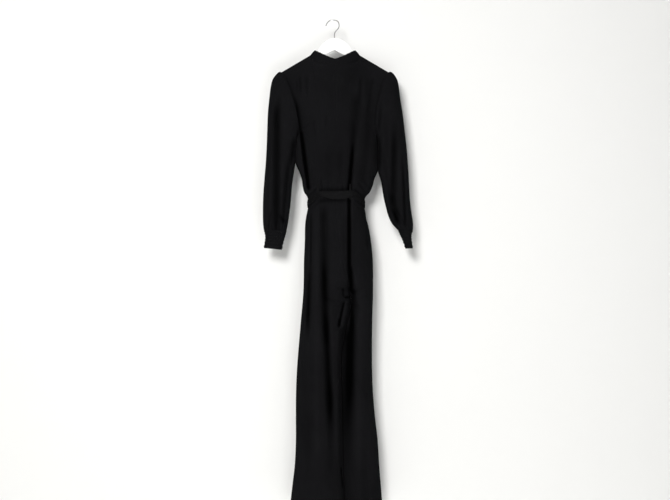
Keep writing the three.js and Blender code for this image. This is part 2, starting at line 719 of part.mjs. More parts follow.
// Hanger outline: arms that follow the shoulders, a rounded plate at the top and a shallow arch below
function addHanger() {
  const { armEnd, armEndHeight, archX, archZ, archReach, bevel } = hangerBody;
  const slope = (shoulderPoint.z - neckSide.z) / (shoulderPoint.x - neckSide.x);
  const armTopZ = (x) => neckSide.z + slope * (Math.abs(x) - neckSide.x) - hangerBody.armTop;
  const archLine = (x) => archZ - hangerBody.archSlope * Math.abs(x - archX);
  const [endTop, endLow] = [armTopZ(armEnd), armTopZ(armEnd) - armEndHeight];
  const plateEnd = plateCurves[1].x;
  const outline = new THREE.Shape();
  outline.moveTo(-armEnd, endTop);
  outline.lineTo(-plateEnd, armTopZ(plateEnd));
  const [upper, lower] = plateCurves;
  outline.bezierCurveTo(-lower.x2, lower.z2, -lower.x1, lower.z1, -upper.x, upper.z);
  outline.bezierCurveTo(-upper.x2, upper.z2, -upper.x1, upper.z1, archX, hangerBody.plateTop);
  outline.bezierCurveTo(upper.x1, upper.z1, upper.x2, upper.z2, upper.x, upper.z);
  outline.bezierCurveTo(lower.x1, lower.z1, lower.x2, lower.z2, plateEnd, armTopZ(plateEnd));
  outline.lineTo(armEnd, endTop);
  outline.bezierCurveTo(armEnd + 7, endTop - 4, armEnd + 7, endLow, armEnd - 2, endLow);
  outline.lineTo(archX + archReach, archLine(archX + archReach));
  outline.lineTo(archX, archZ);
  outline.lineTo(archX - archReach, archLine(archX - archReach));
  outline.lineTo(-armEnd + 2, endLow);
  outline.bezierCurveTo(-armEnd - 7, endLow, -armEnd - 7, endTop - 4, -armEnd, endTop);
  const depth = hangerBody.thickness - 2 * bevel;
  const geometry = new THREE.ExtrudeGeometry(outline, {
    depth,
    bevelThickness: bevel,
    bevelSize: bevel,
    bevelOffset: -bevel,
    bevelSegments: 2,
    curveSegments: 6,
  });
  geometry.translate(0, 0, -depth / 2);
  geometry.rotateX(Math.PI / 2);
  add("hanger_body", geometry, plasticMaterial());
}

function addHook() {
  const extrudePath = new THREE.CatmullRomCurve3(hookLine.map(({ x, z }) => new THREE.Vector3(x, 0, z)));
  const circle = new THREE.Shape();
  circle.absarc(0, 0, hookWire, 0, 2 * Math.PI);
  const sweep = { steps: 26, extrudePath, curveSegments: 4, bevelEnabled: false };
  const geometry = new THREE.ExtrudeGeometry(circle, sweep);
  add("hanger_hook", geometry, steelMaterial());
}

addHanger();
addHook();
addCollar();
addBodice();
addSleeves();
addTrousers();
addBelt();
addBeltLoops();
addTie();

export default group;
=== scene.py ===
import math

import bpy
import numpy as np
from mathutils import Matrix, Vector


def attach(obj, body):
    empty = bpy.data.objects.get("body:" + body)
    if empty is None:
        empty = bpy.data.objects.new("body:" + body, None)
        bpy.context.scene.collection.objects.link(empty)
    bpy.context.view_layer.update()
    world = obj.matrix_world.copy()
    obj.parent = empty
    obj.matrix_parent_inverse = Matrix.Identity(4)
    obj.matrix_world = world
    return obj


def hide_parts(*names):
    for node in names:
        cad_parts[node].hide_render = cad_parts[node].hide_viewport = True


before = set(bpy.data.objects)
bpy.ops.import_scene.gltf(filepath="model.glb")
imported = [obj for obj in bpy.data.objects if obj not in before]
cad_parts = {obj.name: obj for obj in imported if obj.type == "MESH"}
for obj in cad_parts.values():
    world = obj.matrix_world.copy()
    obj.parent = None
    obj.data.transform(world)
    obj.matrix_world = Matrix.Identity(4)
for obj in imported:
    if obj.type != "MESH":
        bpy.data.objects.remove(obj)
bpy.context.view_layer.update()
rng = np.random.default_rng(11)
print("frame loaded")

# the tables below are in millimetres, z down from the hook; the cloth hangs a little to the right of the hook
garment = dict(
    sideShift=4.8, thickness=0.9, shoulderX=184.0, shoulderZ=-180.0, neckX=84.0, neckZ=-121.0,
    neckDepth=dict(back=40.0, front=44.0), neckDip=dict(back=37.0, front=66.0), neckPower=dict(back=0.8, front=1.1),
    ridge=14.0, chest=43.0, waistCentre=-596.0, waistSide=-624.0, waistCurve=3.5,
    seamWidth=1.8, crotchTop=-845.0, crotch=-952.5, hem=-1656.0, lap=6.5, lapReach=26.0, lapFull=-976.0, lapFlat=1.7,
)
bodyRows = np.array([  # z, left seam, right seam, half depth
    [-390, -129, 142.6, 43], [-440, -134.3, 146.8, 45], [-470, -135.4, 147, 46.3], [-490, -133.6, 146.6, 47],
    [-515, -123, 145, 48.5], [-540, -114, 135, 49.5], [-570, -109, 126, 50], [-588, -104, 117.5, 48.5],
    [-600, -95.5, 106, 47], [-608, -92.4, 101.4, 46.5], [-620, -91.5, 100.2, 46.5], [-638, -91.5, 100.2, 47.5],
    [-655, -95, 103.5, 51], [-675, -98.8, 106, 54], [-700, -101.6, 113, 57], [-755, -102.6, 122.5, 60],
    [-820, -105.4, 128.5, 62], [-920, -107.2, 129.2, 60], [-1020, -115.5, 126.5, 55], [-1100, -122.4, 125.6, 51],
    [-1185, -129, 126, 48], [-1265, -132.4, 129, 47], [-1350, -133, 136, 47], [-1430, -133, 145, 48],
    [-1510, -136.5, 150, 49], [-1592, -146, 156.5, 51], [-1656, -153, 162, 52],
])
centreRows = np.array([  # z, middle seam, gap between the legs, where less than 0 laps them
    [-596, 4.35, 0], [-660, 5, 0], [-720, 10, 0], [-800, 22, 0], [-870, 38, 0], [-925, 50, 0], [-952.5, 54, 0.1],
    [-960, 54.5, -0.8], [-972, 54, -1.6], [-985, 51.5, -2.2], [-1010, 45, -3], [-1035, 38.5, -3.6], [-1058, 33, -4],
    [-1100, 25, -4], [-1140, 19.5, -4], [-1184, 19.2, -4], [-1470, 25, -4], [-1592, 29.2, -4], [-1656, 31.2, -4],
])


def smooth(low, high, x):
    t = np.clip((x - low) / (high - low), 0, 1)
    return t * t * (3 - 2 * t)


def signedPower(x, power):
    return np.sign(x) * np.abs(x) ** power


def along(rows, at):
    rows = rows if rows[-1, 0] > rows[0, 0] else rows[::-1]
    keys = rows[:, 0]
    at = np.clip(at, keys[0], keys[-1])
    i = np.clip(np.searchsorted(keys, at, side="right") - 1, 0, len(keys) - 2)
    before = np.maximum(np.arange(len(keys)) - 1, 0)
    after = np.minimum(np.arange(len(keys)) + 1, len(keys) - 1)
    slopes = (rows[after] - rows[before]) / (keys[after] - keys[before])[:, None]
    span = (keys[i + 1] - keys[i])[:, None]
    t = (at - keys[i])[:, None] / span
    return (
        (2 * t**3 - 3 * t**2 + 1) * rows[i]
        + (t**3 - 2 * t**2 + t) * span * slopes[i]
        + (3 * t**2 - 2 * t**3) * rows[i + 1]
        + (t**3 - t**2) * span * slopes[i + 1]
    ).T


# long hanging folds: x and z of the top, x and z of the bottom, depth, half breadth, fade at the top and bottom
def foldDepth(rows, x, z):
    total = np.zeros_like(x)
    for x0, z0, x1, z1, depth, width, fadeTop, fadeBottom in rows:
        t = (z - z0) / (z1 - z0)
        fade = smooth(z0, z0 - fadeTop, z) * smooth(z1, z1 + fadeBottom, z)
        total += depth * fade * np.exp(-(((x - (x0 + (x1 - x0) * t)) / width) ** 2))
    return total


# short creases at any slant: both ends, depth (a ridge is negative), half breadth, taper
def creaseDepth(rows, x, z):
    total = np.zeros_like(x)
    for x0, z0, x1, z1, depth, width, taper in rows:
        length = math.hypot(x1 - x0, z1 - z0)
        dx, dz = (x1 - x0) / length, (z1 - z0) / length
        t = (x - x0) * dx + (z - z0) * dz
        across = (x - x0) * dz - (z - z0) * dx
        ends = smooth(-taper * 0.4, taper, t) * smooth(length + taper * 0.4, length - taper, t)
        total += depth * ends * np.exp(-((across / width) ** 2))
    return total


# painted shade of the folds, from their depths: 1 paints the deepest trough darkest, below 0 paints a ridge lighter as
# painted highlight
fullShade = dict(fold=19, crease=6)  # depths that count as a whole trough


def shadeOf(style, part, x, z):
    folds, creases = style["folds"][part], style["creases"][part]
    return foldDepth(folds, x, z) / fullShade["fold"] + creaseDepth(creases, x, z) / fullShade["crease"]


# how far folds and creases push the cloth in
def pushedIn(style, part, x, z):
    return foldDepth(style["folds"][part], x, z) + creaseDepth(style["creases"][part], x, z)


# slow unevenness of hanging cloth, longer down than across
waves = [
    (rng.uniform(0.035, 0.11), rng.uniform(0.006, 0.02), rng.uniform(0, 6.28), rng.uniform(0.4, 1.0))
    for _ in range(9)
]


def unevenness(x, z):
    total = np.zeros_like(x)
    for kx, kz, phase, size in waves:
        total += size * np.sin(kx * x + kz * z * 1.3 + phase + 0.8 * np.sin(kz * 0.7 * z + phase * 3))
    return total / 3


# fine pleats that fade away from a seam
def gatherWave(place, spacing, away, reach, seed=0.0):
    drift = 0.9 * np.sin(place / (spacing * 2.7) + seed)
    drift = drift + 0.5 * np.sin(place / (spacing * 1.3) + seed * 2.1 + away * 0.02)
    size = 0.6 + 0.4 * np.sin(place / (spacing * 3.9) + seed * 5 + 1.0)
    return size * np.cos(2 * np.pi * place / spacing + drift * 1.6) * np.exp(-np.abs(away) / reach)


def gridFaces(rows, columns, closed):
    span = columns if closed else columns - 1
    i, j = np.meshgrid(np.arange(rows - 1), np.arange(span), indexing="ij")
    i, j = i.ravel(), j.ravel()
    nextJ = (j + 1) % columns
    a, b = i * columns + j, i * columns + nextJ
    d, c = a + columns, b + columns
    half = rows * columns
    faces = [np.stack([a, d, c, b], 1), np.stack([a, b, c, d], 1) + half]
    u = np.stack([j, j, j + 1, j + 1], 1), np.stack([j, j + 1, j + 1, j], 1)
    v = np.stack([i, i + 1, i + 1, i], 1), np.stack([i, i, i + 1, i + 1], 1)
    k = np.arange(span)
    kNext = (k + 1) % columns
    last = (rows - 1) * columns
    faces.append(np.stack([k, kNext, kNext + half, k + half], 1))
    faces.append(np.stack([last + kNext, last + k, last + k + half, last + kNext + half], 1))
    uRim = [np.stack([k, k + 1, k + 1, k], 1), np.stack([k + 1, k, k, k + 1], 1)]
    vRim = [np.zeros((span, 4), int), np.full((span, 4), rows - 1)]
    if not closed:
        r = np.arange(rows - 1)
        a, d = r * columns, (r + 1) * columns
        faces.append(np.stack([d, a, a + half, d + half], 1))
        b, c = a + columns - 1, d + columns - 1
        faces.append(np.stack([b, c, c + half, b + half], 1))
        uRim += [np.zeros((rows - 1, 4), int), np.full((rows - 1, 4), columns - 1)]
        vRim += [np.stack([r + 1, r, r, r + 1], 1), np.stack([r, r + 1, r + 1, r], 1)]
    return np.concatenate(faces), np.concatenate([*u, *uRim]), np.concatenate([*v, *vRim])


sharpAngle = dict(cloth=62, hanger=40)  # degrees between two faces past which their edge stays sharp


def addObject(name, mesh, material):
    mesh.materials.append(material)
    made = bpy.data.objects.new(name, mesh)
    bpy.context.scene.collection.objects.link(made)
    return made


def smoothFaces(mesh):
    mesh.polygons.foreach_set("use_smooth", np.ones(len(mesh.polygons), bool))


# foldShade holds the painted shade and painted highlight that scale the cloth's colour
def setShade(mesh, shade):
    mesh.attributes.new("foldShade", "FLOAT", "POINT").data.foreach_set("value", shade.astype(np.float32))


def meshFrom(name, points, faces, material, uv):
    mesh = bpy.data.meshes.new(name)
    mesh.from_pydata(points.tolist(), [], faces.tolist())
    mesh.update()
    mesh.uv_layers.new(name="UVMap").data.foreach_set("uv", uv.astype(np.float32).ravel())
    smoothFaces(mesh)
    mesh.set_sharp_from_angle(angle=math.radians(sharpAngle["cloth"]))
    return addObject(name, mesh, material)


# blurs a grid of points along one side of it
def blurred(grid, sigma, axis, wraps):
    reach = int(max(1, min(3 * sigma, grid.shape[axis] // 2 - 1)))
    weights = np.exp(-0.5 * (np.arange(-reach, reach + 1) / max(sigma, 0.3)) ** 2)
    pad = [(reach, reach) if k == axis else (0, 0) for k in range(3)]
    padded = np.pad(grid, pad, mode="wrap" if wraps else "edge")
    size = grid.shape[axis]
    total = sum(w * np.take(padded, np.arange(k, k + size), axis) for k, w in enumerate(weights))
    return total / weights.sum()


def gridNormals(grid, closed):
    rows, columns = grid.shape[:2]
    up, down = np.maximum(np.arange(rows) - 1, 0), np.minimum(np.arange(rows) + 1, rows - 1)
    if closed:
        before, after = np.roll(np.arange(columns), 1), np.roll(np.arange(columns), -1)
    else:
        before = np.maximum(np.arange(columns) - 1, 0)
        after = np.minimum(np.arange(columns) + 1, columns - 1)
    alongV = grid[down] - grid[up]
    alongU = grid[:, after] - grid[:, before]
    normal = np.cross(alongV, alongU)
    normal[np.abs(grid[..., 1]) < 0.2, 1] = 0
    return normal / np.maximum(np.linalg.norm(normal, axis=2), 1e-12)[..., None]


# painted shade from how deep each point lies in a fold, from 1 in a trough, painted dark, to -1 on a ridge, painted
# light
def foldShade(grid, normal, closed, stepU, stepV):
    shade = np.zeros(grid.shape[:2])
    for reach, scale in ((4.0, 1.6), (9.0, 5.0)):
        soft = blurred(blurred(grid, reach / stepU, 1, closed), reach / stepV, 0, False)
        shade -= np.sum((grid - soft) * normal, axis=2) / scale
    return np.clip(shade, -1, 1)


outerPoints = {}


def lengthAlong(line):
    return np.concatenate([[0], np.cumsum(np.linalg.norm(np.diff(line, axis=0), axis=1))])


# a cloth wall on a surface: outside points, the same points moved in, rims at the free edges, UV in metres
def clothPiece(
    name, surface, us, vs, material, closed=False, thickness=garment["thickness"], relief=None, after=None
):
    rows, columns = len(vs), len(us)
    u, v = (grid.ravel() for grid in np.meshgrid(us, vs))
    grid = surface(u, v).reshape(rows, columns, -1)
    # a fourth column from the surface is the painted shade of its fold tables
    placed = grid[..., 3] if grid.shape[2] == 4 else 0
    grid = grid[..., :3]
    normal = gridNormals(grid, closed)
    inner = grid - normal * thickness
    middle = grid[rows // 2]
    lengthU = lengthAlong(middle)
    if closed:
        lengthU = np.append(lengthU, lengthU[-1] + np.linalg.norm(middle[0] - middle[-1]))
    lengthV = lengthAlong(grid[:, columns // 2])
    if relief is not None:
        grid = grid + normal * relief(u, v).reshape(rows, columns, 1)
    # painted shade and painted highlight: the geometry's troughs and ridges weighted 0.3, added to the tables' painted
    # shade, kept as foldShade on the points
    shade = foldShade(grid, normal, closed, lengthU[-1] / columns, lengthV[-1] / rows)
    shade = np.clip(shade * 0.3 + placed, -1, 1)
    faces, uIndex, vIndex = gridFaces(rows, columns, closed)
    uv = np.stack([lengthU[uIndex], -lengthV[vIndex]], -1) * 0.001
    if after is not None:
        grid, inner = after(grid), after(inner)
    points = np.concatenate([grid.reshape(-1, 3), inner.reshape(-1, 3)])
    points[:, 0] += garment["sideShift"]
    outerPoints[name] = points[: rows * columns]
    piece = meshFrom(name, points * 0.001, faces, material, uv.reshape(-1, 2))
    setShade(piece.data, np.concatenate([shade.ravel(), shade.ravel()]))
    return piece


# materials
def nodeTools(tree):
    def add(kind, **values):
        node = tree.nodes.new(kind)
        inputs = values.pop("inputs", {})
        for key, value in values.items():
            setattr(node, key, value)
        for key, value in inputs.items():
            if isinstance(value, bpy.types.NodeSocket):
                tree.links.new(value, node.inputs[key])
            else:
                node.inputs[key].default_value = value
        return node

    return add


def maths(add, operation, *values):
    return add("ShaderNodeMath", operation=operation, inputs=dict(enumerate(values))).outputs[0]


def noise(add, coordinates, scale, detail, roughness=0.5):
    values = {"Vector": coordinates, "Scale": scale, "Detail": detail, "Roughness": roughness}
    return add("ShaderNodeTexNoise", inputs=values).outputs


def remap(add, value, source, target):
    ends = dict(zip(("From Min", "From Max", "To Min", "To Max"), (*source, *target)))
    return add("ShaderNodeMapRange", inputs={"Value": value, **ends}).outputs[0]


def mixed(add, factor, first, second, blend="MIX"):
    values = {"Fac": factor, "Color1": first, "Color2": second}
    return add("ShaderNodeMixRGB", blend_type=blend, inputs=values).outputs["Color"]


def bumped(add, height, strength, distance, **more):
    values = {"Height": height, "Strength": strength, "Distance": distance, **more}
    return add("ShaderNodeBump", inputs=values).outputs[0]


def newMaterial(name):
    material = bpy.data.materials.new(name)
    material.use_nodes = True
    material.node_tree.nodes.clear()
    add = nodeTools(material.node_tree)
    return material, add, add("ShaderNodeTexCoord").outputs["Object"]


# the last nodes of a material
def finished(add, values):
    shader = add("ShaderNodeBsdfPrincipled", inputs=values).outputs[0]
    add("ShaderNodeOutputMaterial", inputs={"Surface": shader})


# plain weave from UV: over and under threads with slubs, as height and as a tone
weave = dict(slubScale=240.0, slubDetail=3.0, bend=0.0012, plainTone=0.82)


def makeWeaveGroup():
    tree = bpy.data.node_groups.new("threadWeave", "ShaderNodeTree")
    for key, value in (("Threads", 1500.0), ("Slub", 0.35)):
        tree.interface.new_socket(key, in_out="INPUT", socket_type="NodeSocketFloat").default_value = value
    for key in ("Height", "Tone"):
        tree.interface.new_socket(key, in_out="OUTPUT", socket_type="NodeSocketFloat")
    add = nodeTools(tree)
    source = add("NodeGroupInput").outputs
    uv = add("ShaderNodeTexCoord").outputs["UV"]
    slub = noise(add, uv, weave["slubScale"], weave["slubDetail"])
    bent = mixed(add, weave["bend"], uv, slub["Color"], "ADD")
    parts = add("ShaderNodeSeparateXYZ", inputs={"Vector": bent}).outputs
    warp, weft = (maths(add, "SINE", maths(add, "MULTIPLY", parts[axis], source["Threads"])) for axis in ("X", "Y"))
    height = maths(add, "MULTIPLY_ADD", maths(add, "MULTIPLY", warp, weft), 0.5, 0.5)
    tone = maths(add, "ADD", maths(add, "MULTIPLY", slub["Fac"], source["Slub"]), weave["plainTone"])
    add("NodeGroupOutput", inputs={"Height": height, "Tone": tone})
    return tree


weaveGroup = makeWeaveGroup()
# trough and ridge scale the colour for the painted shade in the folds' troughs and the painted highlight on their
# ridges
clothLook = dict(
    colour=(0.0062, 0.0062, 0.0069, 1), threads=9000.0, slub=0.35, patchScale=5.0, patchTone=(0.86, 1.14),
    roughness=0.78, roughSpread=0.05, dustScale=900.0, threadBump=0.35, threadDepth=0.00012,
    crepe=0.25, crepeScale=420.0, crepeDepth=0.0003, trough=0.07, ridge=1.5,
    specular=0.006, sheen=0.004, sheenRoughness=0.5, sheenTint=(0.9, 0.92, 1, 1),
)


def clothMaterial(name, **changes):
    look = dict(clothLook, **changes)
    material, add, coordinates = newMaterial(name)
    threads = add(
        "ShaderNodeGroup", node_tree=weaveGroup, inputs={"Threads": look["threads"], "Slub": look["slub"]}
    ).outputs
    patches = noise(add, coordinates, look["patchScale"], 4.0, 0.55)["Fac"]
    dust = noise(add, coordinates, look["dustScale"], 2.0)["Fac"]
    crepe = noise(add, coordinates, look["crepeScale"], 3.0, 0.6)["Fac"]
    # painted shade: the colour is scaled down towards trough in the fold troughs and up towards ridge on the ridges, as
    # painted shadow and painted highlight of the folds
    fold = add("ShaderNodeAttribute", attribute_name="foldShade").outputs["Fac"]
    paintedShadeAndHighlight = maths(
        add, "MULTIPLY", remap(add, fold, (0, 1), (1, look["trough"])), remap(add, fold, (0, -1), (1, look["ridge"]))
    )
    worn = maths(add, "MULTIPLY", remap(add, patches, (0.3, 0.7), look["patchTone"]), threads["Tone"])
    colour = mixed(add, 1.0, look["colour"], maths(add, "MULTIPLY", worn, paintedShadeAndHighlight), "MULTIPLY")
    spread = look["roughSpread"]
    rough = remap(add, dust, (0, 1), (look["roughness"] - spread, look["roughness"] + spread))
    fine = bumped(add, threads["Height"], look["threadBump"], look["threadDepth"])
    soft = bumped(add, crepe, look["crepe"], look["crepeDepth"], Normal=fine)
    finished(add, {
        "Base Color": colour, "Roughness": rough, "Normal": soft, "Specular IOR Level": look["specular"],
        "Sheen Weight": look["sheen"], "Sheen Roughness": look["sheenRoughness"], "Sheen Tint": look["sheenTint"],
    })
    return material


cloth = clothMaterial("jumpsuitCloth")
cuffCloth = clothMaterial("cuffCloth", colour=(0.0060, 0.0060, 0.0066, 1), crepe=0.4)
beltCloth = clothMaterial("beltCloth", colour=(0.0064, 0.0064, 0.0068, 1), threads=8000.0)

threadLook = dict(
    scale=2200.0, dark=(0.0026, 0.0026, 0.0029, 1), light=(0.0052, 0.0052, 0.0058, 1), bump=0.5, depth=0.0001,
    roughness=0.7, specular=0.1,
)


def threadMaterial():
    look = threadLook
    material, add, coordinates = newMaterial("sewingThread")
    values = {"Vector": coordinates, "Scale": look["scale"], "Distortion": 1.0}
    twist = add("ShaderNodeTexWave", inputs=values).outputs["Fac"]
    finished(add, {
        "Base Color": mixed(add, twist, look["dark"], look["light"]), "Roughness": look["roughness"],
        "Normal": bumped(add, twist, look["bump"], look["depth"]), "Specular IOR Level": look["specular"],
    })
    return material


thread = threadMaterial()
plasticLook = dict(
    cloudScale=14.0, light=(0.93, 0.93, 0.925, 1), dull=(0.88, 0.88, 0.87, 1), scuffScale=160.0,
    roughness=(0.24, 0.42), bump=0.12, depth=0.0002, ior=1.48, coat=0.15,
)


def plasticMaterial():
    look = plasticLook
    material, add, coordinates = newMaterial("hangerPlastic")
    clouds = noise(add, coordinates, look["cloudScale"], 5.0)["Fac"]
    scuffs = noise(add, coordinates, look["scuffScale"], 6.0, 0.7)["Fac"]
    finished(add, {
        "Base Color": mixed(add, clouds, look["light"], look["dull"]), "IOR": look["ior"],
        "Roughness": remap(add, scuffs, (0.35, 0.7), look["roughness"]),
        "Normal": bumped(add, scuffs, look["bump"], look["depth"]), "Coat Weight": look["coat"],
    })
    return material


steelLook = dict(
    scale=300.0, dark=(0.5, 0.5, 0.51, 1), light=(0.66, 0.66, 0.66, 1), roughness=(0.12, 0.3), bump=0.1, depth=0.0001,
)


def steelMaterial():
    look = steelLook
    material, add, coordinates = newMaterial("hookSteel")
    drawn = noise(add, coordinates, look["scale"], 4.0)["Fac"]
    finished(add, {
        "Base Color": mixed(add, drawn, look["dark"], look["light"]), "Metallic": 1.0,
        "Roughness": remap(add, drawn, (0, 1), look["roughness"]),
        "Normal": bumped(add, drawn, look["bump"], look["depth"]),
    })
    return material


print("materials made")

# arms first, because the armhole ring also bounds the bodice
# sleeve rows: outer x and z, inner x and z, half depth, curve of the armhole
sleeveRows = dict(
    left=[
        [-184, -180, -127.4, -390, 32, 18], [-190, -179, -129.6, -395, 35, 17],
        [-198, -185.5, -130.6, -402, 37.5, 15], [-206.5, -195.5, -131.6, -412, 39, 12],
        [-214, -209, -132.6, -424, 40, 9], [-219, -232, -133.6, -440, 40.5, 5],
        [-223.5, -270, -134.8, -460, 40.5, 2], [-228, -320, -134.6, -485, 40, 0], [-230, -375, -138.5, -515, 39, 0],
        [-232, -430, -143.5, -545, 38.5, 0], [-235, -485, -147, -575, 38, 0], [-239.5, -540, -149, -605, 38, 0],
        [-243.5, -595, -152, -635, 37, 0], [-245, -645, -156, -665, 35, 0], [-244.5, -685, -160, -692, 31, 0],
        [-241, -714, -165, -716, 24, 0],
    ],
    right=[
        [184, -180, 141.9, -388, 32, 18], [190, -178.5, 144, -393, 35, 17], [198, -184.5, 145, -400, 37.5, 15],
        [206, -194.5, 145.8, -411, 39, 12], [213, -208.5, 146.4, -424, 40, 9], [217.5, -232, 147, -440, 40.5, 5],
        [222.5, -272, 146.8, -462, 40.5, 2], [230, -322, 146, -488, 40, 0], [237, -380, 146, -516, 39, 0],
        [243, -435, 156, -548, 38.5, 0], [247.5, -490, 161, -578, 38, 0], [251, -545, 166, -608, 38, 0],
        [253.5, -598, 174, -640, 37, 0], [258, -645, 182, -668, 36, 0], [264.5, -688, 195, -694, 34, 0],
        [264, -716, 216, -717, 31, 0],
    ],
)
cuffRows = dict(
    left=[
        [-240.8, -714.6, -165.3, -716.6, 23.6, 0], [-237.5, -728, -168.4, -729, 20, 0],
        [-236, -742, -172.4, -744, 17, 0], [-238, -757, -176.8, -760, 15.5, 0],
        [-241.4, -776, -181.5, -782, 14.5, 0],
    ],
    right=[
        [263.8, -716.6, 216.3, -717.6, 30.6, 0], [259.5, -729, 222, -730, 30.2, 0],
        [258.5, -741, 227.6, -742, 30, 0], [260.5, -757, 234, -757, 30, 0], [263.3, -777, 240.5, -778, 30, 0],
    ],
)
sleeve = dict(
    folds=dict(
        left=[
            [-195, -250, -197, -745, 11, 15, 130, 60], [-186, -246, -205, -400, 4, 12, 80, 90],
            [-150, -440, -177, -716, 7, 9, 90, 40], [-133, -392, -150, -520, 8, 8, 40, 60],
            [-222, -420, -228, -700, 2, 6, 90, 60],
        ],
        right=[
            [204, -320, 192, -660, 10, 13, 140, 60], [193, -580, 210, -712, 9, 10, 80, 30],
            [168, -300, 178, -560, 2.5, 11, 90, 90], [226, -430, 238, -716, 7, 6, 140, 40],
            [150, -400, 196, -690, 3, 9, 100, 60], [157, -262, 143, -400, 4.5, 6, 60, 40],
            [144, -380, 148, -535, 9, 8, 50, 50],
        ],
    ),
    creases=dict(
        left=[[-190, -662, -162, -700, 1.6, 6, 16], [-214, -650, -226, -712, 1.8, 5, 18]],
        right=[[188, -640, 222, -700, 2.2, 6, 20], [204, -640, 238, -708, 2.0, 5, 20]],
    ),
    headWaves=2.1, headSpacing=9.0, headReach=62.0, headFade=5.0, lift=0.4,
    cuffTop=-716.0, cuffWaves=1.5, cuffSpacing=13.0, cuffReach=30.0, unevenness=0.9,
)
cuff = dict(ridges=6, height=1.5, pucker=0.7, puckers=26)


def armPoint(rows, side, u, v):
    rows = np.array(rows, float)
    numbered = np.column_stack([np.arange(len(rows)), rows])
    _, outerX, outerZ, innerX, innerZ, depth, curve = along(numbered, v)
    sign = -1 if side == "left" else 1
    turn = u if side == "left" else np.pi - u
    cosine, sine = np.cos(turn), np.sin(turn)
    x = (outerX + innerX) / 2 + (outerX - innerX) / 2 * cosine - sign * curve * np.abs(sine)
    z = (outerZ + innerZ) / 2 + (outerZ - innerZ) / 2 * cosine
    y = -depth * signedPower(sine, 0.8)
    return x, y, z, cosine, sine


def sleeveSurface(side):
    sign = -1 if side == "left" else 1

    def surface(u, v):
        x, y, z, cosine, sine = armPoint(sleeveRows[side], side, u, v)
        weight = smooth(0, 0.5, np.abs(sine))
        pushed = pushedIn(sleeve, side, x, z)
        pushed = pushed + sleeve["unevenness"] * unevenness(x * 1.4 + 40 * sign, z) * smooth(0, 3, v)
        y = y + np.sign(sine) * pushed * weight
        degrees = np.degrees(np.abs(np.arctan2(sine, cosine)))
        head = sleeve["headWaves"] * (1 - smooth(sleeve["headReach"] - 22, sleeve["headReach"], degrees))
        head = head * smooth(0, 0.8, v) * (1 - smooth(0.8, sleeve["headFade"], v))
        wave = head * gatherWave(degrees + 3 * np.sign(sine), sleeve["headSpacing"], 0, 1, 2.0 + sign)
        toCuff = z - sleeve["cuffTop"]
        atCuff = gatherWave(u * 42, sleeve["cuffSpacing"], toCuff, sleeve["cuffReach"], 1.0 + sign)
        wave = wave + sleeve["cuffWaves"] * atCuff
        # painted shade of the sleeve's folds, faded towards the sides
        shade = shadeOf(sleeve, side, x, z) * weight
        raised = z + np.abs(cosine) * head * sleeve["lift"]
        return np.stack([x + sign * cosine * wave, y - sine * wave * 0.9, raised, shade], 1)

    return surface


def cuffSurface(side):
    def surface(u, v):
        return np.stack(armPoint(cuffRows[side], side, u, v)[:3], 1)

    return surface


def cuffRelief(u, v):
    row = v / (len(cuffRows["left"]) - 1) * cuff["ridges"]
    ridge = (1 - np.cos(row * 2 * np.pi)) / 2
    pucker = np.cos(u * cuff["puckers"] + 1.7 * np.sin(u * 3 + row)) * (0.35 + 0.65 * ridge)
    return cuff["height"] * ridge + cuff["pucker"] * pucker * (0.7 + 0.3 * np.sin(u * 5 + row * 2))


